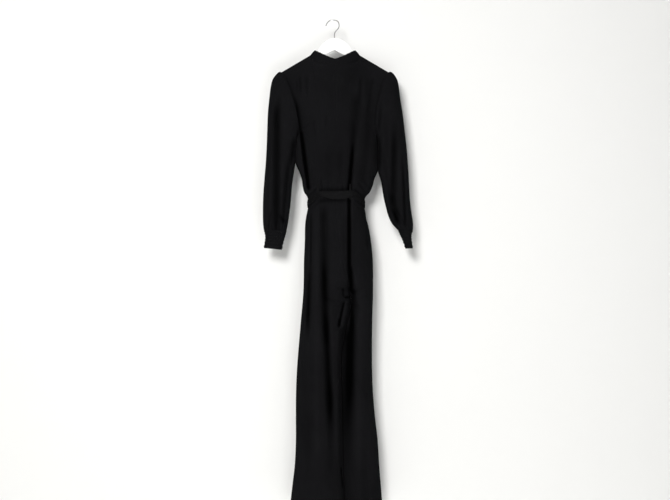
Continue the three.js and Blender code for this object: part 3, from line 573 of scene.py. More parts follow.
# bodice
bodice = dict(
    folds=dict(
        back=[
            [-137, -250, -84, -590, 6, 15, 60, 60], [-139, -252, -107, -440, 8, 7, 50, 60],
            [-116, -370, -88, -588, 16, 6, 70, 20], [80, -236, 60, -440, 5, 18, 60, 90],
            [69, -330, 47, -592, 7, 12, 110, 20], [62, -410, 47, -592, 15, 5, 90, 10],
            [141, -390, 142, -520, 6, 7, 60, 40], [128, -250, 88, -585, 3, 15, 90, 60],
            [-20, -400, -24, -590, 1.5, 14, 90, 40], [-119, -186, -117, -285, 2.2, 5, 24, 60],
            [-129, -196, -126, -275, 1.6, 4, 24, 50], [-96, -186, -94, -290, 1.6, 7, 24, 60],
            [129, -192, 108, -345, 2.8, 8, 30, 70], [88, -186, 82, -310, 2.2, 7, 30, 70],
            [112, -190, 108, -290, 1.2, 6, 24, 50],
        ],
        front=[
            [-132, -260, -78, -590, 13, 16, 60, 60], [126, -250, 82, -590, 12, 15, 60, 60],
            [-44, -300, -34, -590, 8, 15, 90, 50], [30, -320, 26, -590, 7, 14, 90, 50],
            [-112, -196, -108, -300, 3.5, 9, 20, 60], [108, -196, 104, -300, 3.5, 9, 20, 60],
        ],
    ),
    creases=dict(
        back=[
            [-99, -612, -60, -574, 1.6, 4, 14], [-101, -598, -70, -556, 1.2, 5, 14],
            [-104, -584, -84, -548, 0.9, 5, 12], [103, -610, 62, -576, 1.6, 4, 14],
            [108, -596, 76, -556, 1.2, 5, 14], [116, -580, 92, -540, 0.9, 5, 12], [-72, -340, -66, -400, 0.8, 6, 16],
            [-30, -330, -32, -372, 0.7, 6, 12], [-60, -330, -40, -520, -0.8, 14, 60],
            [20, -430, 12, -580, 0.7, 9, 40], [-48, -535, -43, -592, 1.0, 4, 20], [26, -542, 26, -592, 0.8, 4, 20],
        ],
        front=[
            [-99, -612, -60, -574, 2.4, 4, 12], [103, -610, 62, -576, 2.4, 4, 12],
            [-118, -410, -70, -500, 3.0, 11, 30], [132, -410, 84, -520, 3.2, 11, 30],
            [0, -330, 2, -540, -2.0, 13, 60], [-60, -545, -52, -592, 1.8, 4, 14], [44, -545, 40, -592, 1.8, 4, 14],
            [12, -548, 11, -592, 1.6, 4, 14],
        ],
    ),
    waistGathers=0.55, waistSpacing=11.0, waistReach=30.0, neckGathers=0.2, neckSpacing=8.0, neckReach=18.0,
    seamDepth=0.9, unevenness=0.8, ridgeReach=7, underarm=-285, upper=-330, lower=-500,
)


def waistLine(across):
    dip = garment["waistSide"] - garment["waistCentre"]
    return garment["waistCentre"] + dip * np.abs(across) ** garment["waistCurve"]


def armholeEdge(side, z):
    outerX, outerZ, innerX, innerZ, depth, curve = sleeveRows[side][0]
    f = np.clip((z - outerZ) / (innerZ - outerZ), 0, 1)
    round_ = np.sqrt(np.maximum(0, 4 * f * (1 - f)))
    inward = 1 if side == "left" else -1
    return outerX + (innerX - outerX) * f + inward * curve * round_, depth * round_**0.8


def bodiceSide(side, z):
    underarm, startX = sleeveRows[side][0][3], sleeveRows[side][0][2]
    holeX, holeY = armholeEdge(side, z)
    body = along(bodyRows, z)[1 if side == "left" else 2]
    seamX = startX + (body - startX) * smooth(underarm, underarm - 30, z)
    above = z > underarm
    return np.where(above, holeX, seamX), np.where(above, holeY, 0)


def bodiceTop(x, face):
    inNeck = np.sqrt(np.maximum(0, 1 - (x / garment["neckX"]) ** 2))
    slope = (garment["shoulderZ"] - garment["neckZ"]) / (garment["shoulderX"] - garment["neckX"])
    shoulder = garment["neckZ"] + slope * (np.abs(x) - garment["neckX"])
    neck = garment["neckZ"] - garment["neckDip"][face] * inNeck ** garment["neckPower"][face]
    return np.where(inNeck > 0, neck, shoulder), garment["neckDepth"][face] * inNeck


# u is the angle from the left seam through the back or, mirrored, through the front; v runs from shoulder to waist
def bodiceSurface(face):
    outward = -1 if face == "back" else 1

    def surface(u, v):
        across = -np.cos(u)
        sine = np.abs(np.sin(u))
        topX = across * garment["shoulderX"]
        topZ, topY = bodiceTop(topX, face)
        sideZ = garment["shoulderZ"] + (garment["waistSide"] - garment["shoulderZ"]) * v
        (leftX, leftY), (rightX, rightY) = bodiceSide("left", sideZ), bodiceSide("right", sideZ)
        part = (1 + across) / 2
        toNeck = smooth(1.6, 0, np.abs(topX) / garment["neckX"])
        z = topZ + (waistLine(across) - topZ) * (v + (v**0.7 - v) * toNeck)
        x = leftX + (rightX - leftX) * part
        chestDepth = garment["chest"] + (bodyRows[0, 3] - garment["chest"]) * v
        full = np.where(sideZ > bodyRows[0, 0], chestDepth, along(bodyRows, sideZ)[3])
        drop = topZ - z
        below = smooth(0, 30, drop)
        away = np.abs(topX) / garment["neckX"]
        softY = garment["neckDepth"][face] * np.exp(-((away / 0.86) ** 3))
        beyond = 14 * np.log1p(np.exp(np.clip((np.abs(topX) - garment["neckX"]) / 14, -30, 30)))
        softZ = garment["neckZ"] - 0.59 * beyond - garment["neckDip"][face] * np.exp(-((away / 0.82) ** 3.4))
        topY = topY + (softY - topY) * below
        fall = drop + (softZ - topZ) * below
        ridge = garment["ridge"] * (1 - topY / garment["neckDepth"][face])
        middle = topY + ridge * (1 - np.exp(-drop / bodice["ridgeReach"]))
        middle = middle + (full - topY - ridge) * smooth(0, 140, fall)
        power = 0.75 + 1.25 * smooth(bodice["lower"], bodice["upper"], sideZ)
        edge = leftY + (rightY - leftY) * part
        faded = sleeveRows["left"][0][4] * smooth(-490, bodice["underarm"], sideZ)
        softEdge = np.where(sideZ > bodice["underarm"], edge, faded)
        nearSide = (1 - sine) ** 5
        weight = smooth(0.15, 0.7, sine)
        backSeam = np.exp(-(((x - (leftX + rightX) / 2) / garment["seamWidth"]) ** 2)) * (face == "back")
        inward = bodice["seamDepth"] * backSeam * smooth(-420, -280, z) + pushedIn(bodice, face, x, z)
        slow = unevenness(x + (0 if face == "back" else 300), z) * smooth(0, 60, drop)
        inward = inward + bodice["unevenness"] * slow
        toWaist = z - waistLine(across)
        atWaist = gatherWave(x, bodice["waistSpacing"], toWaist, bodice["waistReach"], 3.0)
        atNeck = gatherWave(x, bodice["neckSpacing"], drop, bodice["neckReach"], 1.0) * smooth(2, 8, drop)
        inward = inward + bodice["waistGathers"] * atWaist + bodice["neckGathers"] * atNeck
        y = edge * nearSide + softEdge * ((1 - sine) ** 1.6 - nearSide) + middle * sine**power - inward * weight
        # painted shade of the folds, and a painted shadow band just above the waist across the middle, along the belt's
        # top edge
        shade = shadeOf(bodice, face, x, z)
        shade = shade + 0.5 * np.exp(-((toWaist - 12) / 9) ** 2) * (np.abs(x) < 60)
        return np.stack([x, outward * y, z, shade], 1)

    return surface


# trousers
trousers = dict(
    folds=dict(
        back=[
            [-81, -630, -81, -870, 5, 4, 60, 60], [-83, -800, -94, -1100, 11, 10, 110, 110],
            [-38, -612, -36, -1010, 8, 16, 60, 160], [-37, -760, -30, -1120, 8, 14, 170, 110],
            [-33, -950, -12, -1430, 12, 14, 140, 170], [-18, -1190, -10, -1580, 5, 14, 110, 220],
            [47.5, -604, 47.5, -850, 17, 5, 16, 30], [47.5, -820, 57, -935, 20, 8, 50, 20],
            [44, -640, 46, -900, 5, 17, 60, 60], [62, -905, 56, -1080, 14, 9, 20, 60],
            [46, -1015, 38, -1560, 13, 26, 70, 260], [56, -970, 47, -1400, 8, 16, 80, 200],
            [60, -640, 64, -900, 2, 14, 60, 120], [98, -1050, 100, -1700, 2, 16, 200, 60],
            [-90, -1250, -94, -1700, 1.5, 16, 200, 60], [108, -700, 112, -800, 3, 6, 40, 40],
        ],
        front=[
            [-70, -650, -74, -1250, 15, 15, 90, 260], [-26, -640, -34, -1700, 20, 16, 110, 60],
            [20, -640, 34, -940, 9, 13, 60, 60], [66, -650, 70, -1700, 21, 17, 110, 60],
            [102, -700, 106, -1200, 8, 13, 90, 260], [-88, -1250, -96, -1700, 10, 16, 200, 60],
        ],
    ),
    creases=dict(
        back=[
            [31, -941, 56, -942, 4.6, 4, 6], [36, -929, 50, -930, -2.6, 7, 8], [26, -908, 29, -941, 3.0, 4, 8],
            [45, -950, 28, -1046, -3.4, 9, 14], [31, -952, 13, -1040, 4.6, 4.5, 10],
            [15, -1010, 12, -1046, 2.6, 5, 8], [44, -921, -20, -901, 0.9, 6, 20], [30, -958, -40, -944, 1.0, 7, 22],
            [66, -926, 108, -896, 0.8, 7, 18], [70, -946, 116, -934, 0.8, 7, 18], [62, -960, 100, -990, 0.8, 8, 18],
            [-96, -640, -62, -612, 1.4, 4, 12], [-86, -650, -54, -622, 1.0, 4, 12],
            [104, -642, 66, -614, 1.4, 4, 12], [94, -654, 60, -626, 1.0, 4, 12],
            [-62, -650, -62, -1500, -1.6, 12, 60], [16, -640, 18, -860, -0.8, 16, 60],
            [8, -1040, 9, -1500, -1.8, 8, 50], [82, -700, 84, -1500, -0.8, 18, 90],
            [-10, -860, 8, -960, -0.8, 12, 30], [66, -1200, 122, -1290, 0.5, 12, 30],
            [-96, -1330, -50, -1400, 0.5, 12, 30], [20, -1515, 27, -1590, 4.0, 3, 12],
        ],
        front=[
            [31, -946, 61, -946, 3.2, 3.6, 8], [44, -925, -20, -905, 2.2, 6, 20], [66, -930, 108, -900, 2.4, 6, 18],
            [-96, -640, -62, -612, 2.0, 4, 12], [104, -642, 66, -614, 2.0, 4, 12],
            [-48, -640, -46, -740, -1.8, 6, 34], [-100, -1120, -60, -1160, 1.8, 9, 24],
            [84, -1120, 118, -1170, 1.8, 9, 24], [-62, -1500, -66, -1656, 3.0, 10, 60],
            [100, -1490, 104, -1656, 3.0, 10, 60],
        ],
    ),
    waistGathers=0.6, waistSpacing=11.0, waistReach=40.0, hemDepth=24.0, hemEase=1.5, hemFold=0.7,
    seamDepth=0.8, unevenness=0.9, power=0.75,
)


def lapShare(z):
    return smooth(garment["crotch"], garment["lapFull"], z)


# the left leg's inner edge hangs further back and the right one further forward
def lapLeg(side):
    sign = -1 if side == "left" else 1

    def after(grid):
        z = grid[..., 2].ravel()
        away = (grid[..., 0].ravel() - along(centreRows, z)[1]) / garment["lapReach"]
        moved = grid.copy()
        moved[..., 1] += (sign * garment["lap"] * lapShare(z) * np.exp(-(away**2))).reshape(grid.shape[:2])
        return moved

    return after


# the turned-up hem stands a little proud of the leg
def hemRelief(u, v):
    z = garment["waistCentre"] + (garment["hem"] - garment["waistCentre"]) * v
    top = garment["hem"] + trousers["hemDepth"]
    return trousers["hemFold"] * smooth(top + trousers["hemEase"], top, z)


# u runs from the side seam to the middle or inner leg seam or, so that the wall faces out, back; v from waist to hem
def trouserSurface(side, face):
    sign = -1 if side == "left" else 1
    fromCentre = (side == "right") == (face == "back")
    outward = -1 if face == "back" else 1

    def surface(u, v):
        u = np.clip(1 - u if fromCentre else u, 0, 1)
        centreZ = garment["waistCentre"] + (garment["hem"] - garment["waistCentre"]) * v
        sideZ = garment["waistSide"] + (garment["hem"] - garment["waistSide"]) * v
        angleEnd = np.pi / 2 * (1 + smooth(garment["crotchTop"], garment["crotch"], centreZ))
        angle = u * angleEnd
        part = (1 - np.cos(angle)) / (1 - np.cos(angleEnd))
        _, left, right, depth = along(bodyRows, sideZ)
        _, seam, gap = along(centreRows, centreZ)
        start = left if side == "left" else right
        x = start + (seam + sign * gap / 2 - start) * part
        top = waistLine(1 - part)
        z = top + (garment["hem"] - top) * v
        sine = np.abs(np.sin(angle))
        slow = unevenness(x + (100 if face == "back" else 400), z) * smooth(0, -80, z - top)
        atWaist = gatherWave(x, trousers["waistSpacing"], z - top, trousers["waistReach"], 3.0)
        seamLine = np.exp(-(((x - seam) / garment["seamWidth"]) ** 2)) * (centreZ > garment["crotch"])
        inward = pushedIn(trousers, face, x, z) + trousers["unevenness"] * slow + trousers["waistGathers"] * atWaist
        inward = inward + trousers["seamDepth"] * seamLine * smooth(-596, -640, z)
        lapped = (garment["lapFlat"] - trousers["power"]) * lapShare(centreZ)
        power = trousers["power"] + np.where(angle > np.pi / 2, lapped, 0)
        y = depth * sine**power - inward * smooth(0, 0.5, sine)
        # painted shadow under the belt's lower edge, across the middle between the loops, added to the painted fold
        # shade
        paintedShadowUnderBelt = 0.55 * np.exp(-(((z - top + 20) / 8) ** 2)) * smooth(62, 44, np.abs(x + 2))
        shade = shadeOf(trousers, face, x, z) + paintedShadowUnderBelt
        return np.stack([x, outward * y, z, shade], 1)

    return surface


# points across and down each piece
fineness = dict(
    bodice=(42, 34), bodiceRows=160, trouser=72, trouserRows=250, sleeve=112, sleeveRows=160, cuff=132, cuffRows=61,
)


def openRing(count):
    return np.linspace(0, 2 * np.pi, count + 1)[:-1]


def addPieces():
    made = {}
    vs = np.linspace(0, 1, fineness["bodiceRows"])
    neckAngle = math.acos(garment["neckX"] / garment["shoulderX"])
    shoulder, neck = fineness["bodice"]
    half = np.concatenate([np.linspace(0, neckAngle, shoulder), np.linspace(neckAngle, np.pi / 2, neck)[1:]])
    mirrored = np.pi - half[::-1]
    back, front = bodiceSurface("back"), bodiceSurface("front")
    made["bodice_back_left"] = clothPiece("bodiceBackLeft", back, half, vs, cloth)
    made["bodice_back_right"] = clothPiece("bodiceBackRight", back, mirrored, vs, cloth)
    whole = -np.concatenate([half, mirrored[1:]])[::-1]
    made["bodice_front"] = clothPiece("bodiceFront", lambda u, v: front(-u, v), whole, vs, cloth)
    rows = np.interp(np.linspace(0, 1, fineness["trouserRows"]), [0, 0.25, 0.55, 1], [0, 0.26, 0.45, 1])
    us = np.linspace(0, 1, fineness["trouser"])
    for side, face in (("left", "back"), ("right", "back"), ("right", "front"), ("left", "front")):
        made["trouser_" + face + "_" + side] = clothPiece(
            "trouser" + face.capitalize() + side.capitalize(), trouserSurface(side, face), us, rows, cloth,
            relief=hemRelief, after=lapLeg(side),
        )
    arm, wrist = openRing(fineness["sleeve"]), openRing(fineness["cuff"])
    sleeveVs = np.linspace(0, len(sleeveRows["left"]) - 1, fineness["sleeveRows"])
    cuffVs = np.linspace(0, len(cuffRows["left"]) - 1, fineness["cuffRows"])
    for side in ("left", "right"):
        made["sleeve_" + side] = clothPiece(
            "sleeve" + side.capitalize(), sleeveSurface(side), arm, sleeveVs, cloth, closed=True
        )
        made["cuff_" + side] = clothPiece(
            "cuff" + side.capitalize(), cuffSurface(side), wrist, cuffVs, cuffCloth, closed=True, relief=cuffRelief
        )
    return made


pieces = addPieces()
print("body, legs and sleeves made")

# collar: a soft shirred band that rises from the neck seam and leans in, lowest at the middle of the back
collar = dict(
    lean=14.0, lowLean=2.5, sideTop=-104.5, backTop=-140.5, curve=1.2, frontHeight=18.5, drop=0.6, bow=1.3, wave=0.5,
    thickness=1.2,
)


def collarSurface(u, v):
    sine, cosine = np.sin(u), np.cos(u)
    x = -garment["neckX"] * cosine
    back = sine >= 0
    backZ, backY = bodiceTop(x, "back")
    frontZ, frontY = bodiceTop(x, "front")
    lowZ, lowY = np.where(back, backZ, frontZ), np.where(back, -backY, frontY)
    lowZ = np.where(np.abs(sine) < 1e-9, garment["neckZ"], lowZ)
    side = np.abs(cosine) ** 1.25
    frontTop = lowZ + collar["frontHeight"] - (collar["frontHeight"] + garment["neckZ"] - collar["sideTop"]) * side
    backTop = collar["backTop"] + (collar["sideTop"] - collar["backTop"]) * np.abs(cosine) ** collar["curve"]
    top = np.where(back, backTop, frontTop)
    lean = collar["lowLean"] + (collar["lean"] - collar["lowLean"]) * side
    size = np.maximum(np.hypot(x, lowY), 1e-6)
    ruffle = collar["wave"] * (np.cos(u * 31 + 1.3 * np.sin(u * 4)) + 0.6 * np.cos(u * 53 + 2 * np.sin(u * 3)))
    inward = lean * (1 - v) - collar["bow"] * np.sin(np.pi * v) + ruffle * (1 - v) * 0.9
    rise = (1 - v) * (top - lowZ + ruffle * 0.7) - collar["drop"]
    return np.stack([x - x / size * inward, lowY - lowY / size * inward, lowZ + rise], 1)


pieces["collar_band"] = clothPiece(
    "collarBand", collarSurface, openRing(320), np.linspace(0, 1, 14), cloth, closed=True, thickness=collar["thickness"]
)

# belt: flat and folded between the loops, drawn into wrinkles that hardly part from the cloth elsewhere
belt = dict(clearance=0.8, thickness=1.3, bulge=1.3, depth=48.7, lower=-3.8, level=-626.0)
beltRows = np.array([  # angle from the left seam through the back, top, bottom, and 1 where it lies plain
    [0, -612, -636, 0.1], [35, -597, -620, 0.1], [54, -583, -599, 0.4], [63, -581, -601, 0.9], [80, -581.5, -609, 1],
    [104, -580.5, -609.5, 1], [118, -579.5, -603, 0.9], [127, -580, -597, 0.4], [146, -596, -618, 0.1],
    [180, -612, -636, 0.1], [225, -592, -617, 0.4], [270, -584, -610, 1], [315, -592, -617, 0.4],
    [360, -612, -636, 0.1],
])


def beltSurface(u, v):
    turn = np.mod(u, 2 * np.pi)
    _, top, bottom, plain = along(beltRows, np.degrees(turn))
    _, left, right, _ = along(bodyRows, np.full_like(u, belt["level"]))
    pleats = 0.9 * np.cos(2 * np.pi * (v * 3.1 + 0.4 * np.sin(turn * 3)) + 0.5) * (1 - 0.8 * plain)
    crease = pleats + 0.3 * np.sin(turn * 9 + 4 * v) + 0.22 * np.sin(turn * 23 + 9 * v)
    bulge = belt["bulge"] * np.sin(np.pi * v) * (0.35 + 0.65 * plain)
    away = belt["clearance"] + belt["thickness"] + bulge + crease * smooth(0, 0.2, v) * smooth(1, 0.8, v)
    half = (right - left) / 2 + away
    x = (left + right) / 2 - half * np.cos(turn)
    z = top + (bottom - top) * v + belt["lower"]
    # painted shade: darker in the drawn-in wrinkles following their pleats, a painted shadow along the top edge of the
    # flat parts, and painted light over the flat parts
    shade = (0.3 + 0.25 * pleats) * (1 - plain) + 0.5 * smooth(0.22, 0, v) * plain - 0.15 * plain
    return np.stack([x, -(belt["depth"] + away) * signedPower(np.sin(turn), 0.75), z, shade], 1)


pieces["belt"] = clothPiece(
    "beltBand", beltSurface, openRing(300), np.linspace(0, 1, 17), beltCloth, closed=True, thickness=belt["thickness"]
)
print("collar and belt made")


# how far back the outside of the garment lies at places given by x and z
def outsideAt(names, x, z):
    cloud = np.concatenate([outerPoints[name] for name in names]) - [garment["sideShift"], 0, 0]
    place = np.zeros(len(x))
    for k in range(len(x)):
        apart = (cloud[:, 0] - x[k]) ** 2 + (cloud[:, 2] - z[k]) ** 2
        near = np.argsort(apart)[:6]
        weight = 1 / (apart[near] + 0.05)
        place[k] = np.sum(cloud[near, 1] * weight) / weight.sum()
    return place


# belt loops: narrow folded straps, sewn down at both ends and standing over the belt
beltLoop = dict(
    left=dict(x=-56.6, lean=0.6), right=dict(x=51.4, lean=-0.8), top=-560.0, bottom=-614.0, width=6.0,
    thickness=1.3, over=0.7, steps=31, beltTop=-588, beltBottom=-606,
)


def loopSurface(side):
    place = beltLoop[side]
    names = ["bodiceBackLeft", "bodiceBackRight", "trouserBackLeft", "trouserBackRight"]
    steps = np.linspace(0, 1, beltLoop["steps"])
    heights = beltLoop["top"] + (beltLoop["bottom"] - beltLoop["top"]) * steps
    across = np.full(beltLoop["steps"], place["x"])
    onBelt = np.clip(heights, beltLoop["beltBottom"], beltLoop["beltTop"])
    overBelt = outsideAt(["beltBand"], across, onBelt) - beltLoop["over"]
    sewn = outsideAt(names, across, heights) - 0.4
    rise = np.sin(np.pi * steps) ** 0.45
    line = np.minimum(sewn + (overBelt - sewn) * rise, sewn) - beltLoop["thickness"]

    def surface(u, v):
        x = place["x"] + place["lean"] * np.sin(np.pi * v) + (u - 0.5) * beltLoop["width"]
        z = beltLoop["top"] + (beltLoop["bottom"] - beltLoop["top"]) * v
        edge = 0.35 * (2 * u - 1) ** 2
        return np.stack([x, np.interp(v, steps, line) + edge, z], 1)

    return surface


for side in ("left", "right"):
    pieces["belt_loop_" + side] = clothPiece(
        "beltLoop" + side.capitalize(), loopSurface(side), np.linspace(0, 1, 9), np.linspace(0, 1, 41), beltCloth,
        thickness=beltLoop["thickness"]
    )

# knot: the belt's end wrapped once round the other, with creases that run into the belt
knot = dict(
    x=8.0, z=-597.0, y=63.0, halfWidth=14.0, halfDepth=7.6, halfHeight=15.5, square=0.82, wrap=1.5, ring=72, rows=44,
)


def knotPiece():
    fromTop = np.linspace(0.02, np.pi - 0.02, knot["rows"])
    tall, turn = np.meshgrid(fromTop, openRing(knot["ring"]), indexing="ij")
    x, y, z = np.sin(tall) * np.cos(turn), np.sin(tall) * np.sin(turn), np.cos(tall)
    wraps = np.cos(9 * (x * 0.8 + z * 0.45) + 1.2 * np.sin(3 * z)) * 0.5
    wraps = wraps + 0.35 * np.cos(17 * (x * 0.7 - z * 0.3) + 2)
    size = 1 + 0.055 * knot["wrap"] * wraps - 0.2 * np.exp(-(((x - 0.35 * z - 0.1) / 0.16) ** 2)) * (y > 0)
    pinch = 1 - 0.16 * np.exp(-((z / 0.3) ** 2)) * np.abs(x)
    points = np.stack([
        knot["x"] + garment["sideShift"] + knot["halfWidth"] * signedPower(x, knot["square"]) * size,
        knot["y"] + knot["halfDepth"] * signedPower(y, knot["square"]) * size,
        knot["z"] + knot["halfHeight"] * signedPower(z, knot["square"]) * pinch,
    ], -1).reshape(-1, 3)
    rows, ring = knot["rows"], knot["ring"]
    i, j = (grid.ravel() for grid in np.meshgrid(np.arange(rows - 1), np.arange(ring), indexing="ij"))
    after = (j + 1) % ring
    faces = np.stack([i * ring + j, (i + 1) * ring + j, (i + 1) * ring + after, i * ring + after], 1).tolist()
    faces += [list(range(ring)), list(range((rows - 1) * ring, rows * ring))[::-1]]
    mesh = bpy.data.meshes.new("beltKnot")
    mesh.from_pydata((points * 0.001).tolist(), [], faces)
    mesh.update()
    # painted shade in the hollows between the wraps and painted highlight on the wraps' crests
    setShade(mesh, np.clip(-wraps.ravel(), -1, 1) * 0.8)
    flat = points[:, [0, 2]] * 0.001
    corners = np.zeros(len(mesh.loops), int)
    mesh.loops.foreach_get("vertex_index", corners)
    mesh.uv_layers.new(name="UVMap").data.foreach_set("uv", flat[corners].astype(np.float32).ravel())
    smoothFaces(mesh)
    return addObject("beltKnot", mesh, beltCloth)


pieces["belt_knot"] = knotPiece()

# hanging ends of the belt: soft straps that turn a little as they fall
beltEnd = dict(
    left=dict(topX=-2.0, lowX=-22.0, bottom=-846.0, wave=1.5),
    right=dict(topX=18.0, lowX=34.0, bottom=-872.0, wave=-1.5),
    top=-612.95, topHalf=7.0, half=12.0, frontY=64.5, thickness=1.6,
)


def endSurface(side):
    place = beltEnd[side]

    def surface(u, v):
        half = beltEnd["topHalf"] + (beltEnd["half"] - beltEnd["topHalf"]) * smooth(0, 0.25, v)
        x = place["topX"] + (place["lowX"] - place["topX"]) * v + (1 - 2 * u) * half
        x = x + 1.2 * np.sin(2 * np.pi * v * 1.3 + place["wave"])
        gathers = 1.1 * np.cos(2 * np.pi * u * 3.5 + 0.6) * np.exp(-v / 0.09)
        centre = 0.7 * np.exp(-(((u - 0.45 - 0.08 * np.sin(6 * v)) / 0.1) ** 2)) * (1 - v)
        bow = place["wave"] * np.sin(2 * np.pi * v) + 1.2 * np.sin(np.pi * u) + 0.35 * np.sin(11 * v + 3 * u)
        z = beltEnd["top"] + (place["bottom"] - beltEnd["top"]) * v
        return np.stack([x, beltEnd["frontY"] + bow + gathers - centre, z], 1)

    return surface


for side in ("left", "right"):
    pieces["belt_end_" + side] = clothPiece(
        "beltEnd" + side.capitalize(), endSurface(side), np.linspace(0, 1, 19), np.linspace(0, 1, 91), beltCloth,
        thickness=beltEnd["thickness"]
    )
print("loops, knot and ends made")


# stitches: one tree lays a small thread along every line it is given
stitching = dict(
    spacing=0.0032, length=0.0023, radius=0.00026,  # metres
    lift=0.12, hemUp=23.0, waistUp=4.0, beltIn=0.07, collarUp=0.06, loopIn=0.04,
)


def makeStitchTree():
    tree = bpy.data.node_groups.new("stitchLine", "GeometryNodeTree")
    tree.interface.new_socket("Geometry", in_out="INPUT", socket_type="NodeSocketGeometry")
    for key in ("Spacing", "Length", "Radius"):
        socket = tree.interface.new_socket(key, in_out="INPUT", socket_type="NodeSocketFloat")
        socket.default_value = stitching[key.lower()]
    tree.interface.new_socket("Thread", in_out="INPUT", socket_type="NodeSocketMaterial")
    tree.interface.new_socket("Geometry", in_out="OUTPUT", socket_type="NodeSocketGeometry")
    add = nodeTools(tree)

    def step(kind, inputs, **values):
        return add(kind, inputs=inputs, **values).outputs[0]

    source = add("NodeGroupInput").outputs
    lines = step("GeometryNodeMeshToCurve", {"Mesh": source["Geometry"]})
    spaced = step("GeometryNodeResampleCurve", {"Curve": lines, "Length": source["Spacing"]}, mode="LENGTH")
    ball = step("GeometryNodeMeshUVSphere", {"Segments": 6, "Rings": 4, "Radius": 1.0})
    halfLength = maths(add, "MULTIPLY", source["Length"], 0.5)
    size = step("ShaderNodeCombineXYZ", {"X": source["Radius"], "Y": source["Radius"], "Z": halfLength})
    stitch = step("GeometryNodeTransform", {"Geometry": ball, "Scale": size})
    direction = step("GeometryNodeInputTangent", {})
    turned = step("FunctionNodeAlignRotationToVector", {"Vector": direction}, axis="Z")
    placed = step("GeometryNodeInstanceOnPoints", {"Points": spaced, "Instance": stitch, "Rotation": turned})
    real = step("GeometryNodeRealizeInstances", {"Geometry": placed})
    smoothed = step("GeometryNodeSetShadeSmooth", {"Geometry": real})
    painted = step("GeometryNodeSetMaterial", {"Geometry": smoothed, "Material": source["Thread"]})
    add("NodeGroupOutput", inputs={"Geometry": painted})
    return tree


stitchTree = makeStitchTree()


# a line on a surface, moved out a little, as points in metres
def surfaceLine(surface, us, vs, lift, relief=None, after=None):
    us, vs = np.broadcast_arrays(np.asarray(us, float), np.asarray(vs, float))

    def at(u, v):
        return surface(u, v)[:, :3]

    point, step = at(us, vs), 1e-3
    normal = np.cross(at(us, vs + step) - at(us, vs - step), at(us + step, vs) - at(us - step, vs))
    normal /= np.maximum(np.linalg.norm(normal, axis=1), 1e-12)[:, None]
    out = lift + (relief(us, vs) if relief is not None else 0)
    point = point + normal * np.broadcast_to(out, len(us))[:, None]
    if after is not None:
        point = after(point.reshape(1, -1, 3)).reshape(-1, 3)
    return (point + [garment["sideShift"], 0, 0]) * 0.001


def stitchPiece(name, lines):
    points, edges = [], []
    for line, closed in lines:
        start = len(points)
        points += line.tolist()
        edges += [(k, k + 1) for k in range(start, len(points) - 1)]
        if closed:
            edges.append((len(points) - 1, start))
    mesh = bpy.data.meshes.new(name)
    mesh.from_pydata(points, edges, [])
    piece = bpy.data.objects.new(name, mesh)
    bpy.context.scene.collection.objects.link(piece)
    modifier = piece.modifiers.new("stitches", "NODES")
    modifier.node_group = stitchTree
    for item in stitchTree.interface.items_tree:
        if item.in_out == "INPUT" and item.name != "Geometry":
            modifier[item.identifier] = thread if item.name == "Thread" else stitching[item.name.lower()]
    bpy.context.view_layer.update()
    made = bpy.data.meshes.new_from_object(piece.evaluated_get(bpy.context.evaluated_depsgraph_get()))
    piece.modifiers.clear()
    piece.data = made
    return piece


def stitchLines():
    lift = stitching["lift"]
    circle = openRing(259)
    groups = {part + "Stitches": [] for part in ("hem", "belt", "collar", "cuff", "waist", "loop")}
    span = np.linspace(0.02, 0.98, 120)
    tall = garment["hem"] - garment["waistCentre"]
    hemV = (garment["hem"] + stitching["hemUp"] - garment["waistCentre"]) / tall
    waistV = -stitching["waistUp"] / tall
    for side in ("left", "right"):
        for face in ("back", "front"):
            surface = trouserSurface(side, face)
            groups["hemStitches"].append((surfaceLine(surface, span, hemV, lift, hemRelief, lapLeg(side)), False))
            groups["waistStitches"].append((surfaceLine(surface, span, waistV, lift), False))
        for row in range(cuff["ridges"] + 1):
            v = np.clip(row * 4 / cuff["ridges"], 0.06, 3.94)
            groups["cuffStitches"].append((surfaceLine(cuffSurface(side), circle, v, lift, cuffRelief), True))
        for v in (stitching["loopIn"], 1 - stitching["loopIn"]):
            line = surfaceLine(loopSurface(side), np.linspace(0.12, 0.88, 8), v, lift)
            groups["loopStitches"].append((line, False))
    for v in (stitching["beltIn"], 1 - stitching["beltIn"]):
        groups["beltStitches"].append((surfaceLine(beltSurface, circle, v, lift), True))
    for v in (stitching["collarUp"], 1 - stitching["collarUp"]):
        groups["collarStitches"].append((surfaceLine(collarSurface, circle + 0.01, v, lift), True))
    return groups


stitches = {name: stitchPiece(name, lines) for name, lines in stitchLines().items()}
print("stitches made:", {name: len(piece.data.polygons) for name, piece in stitches.items()})

# the hanger keeps its CAD form
for name, material in (("hanger_body", plasticMaterial()), ("hanger_hook", steelMaterial())):
    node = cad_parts[name]
    node.data.materials.clear()
    node.data.materials.append(material)
    smoothFaces(node.data)
    node.data.set_sharp_from_angle(angle=math.radians(sharpAngle["hanger"]))

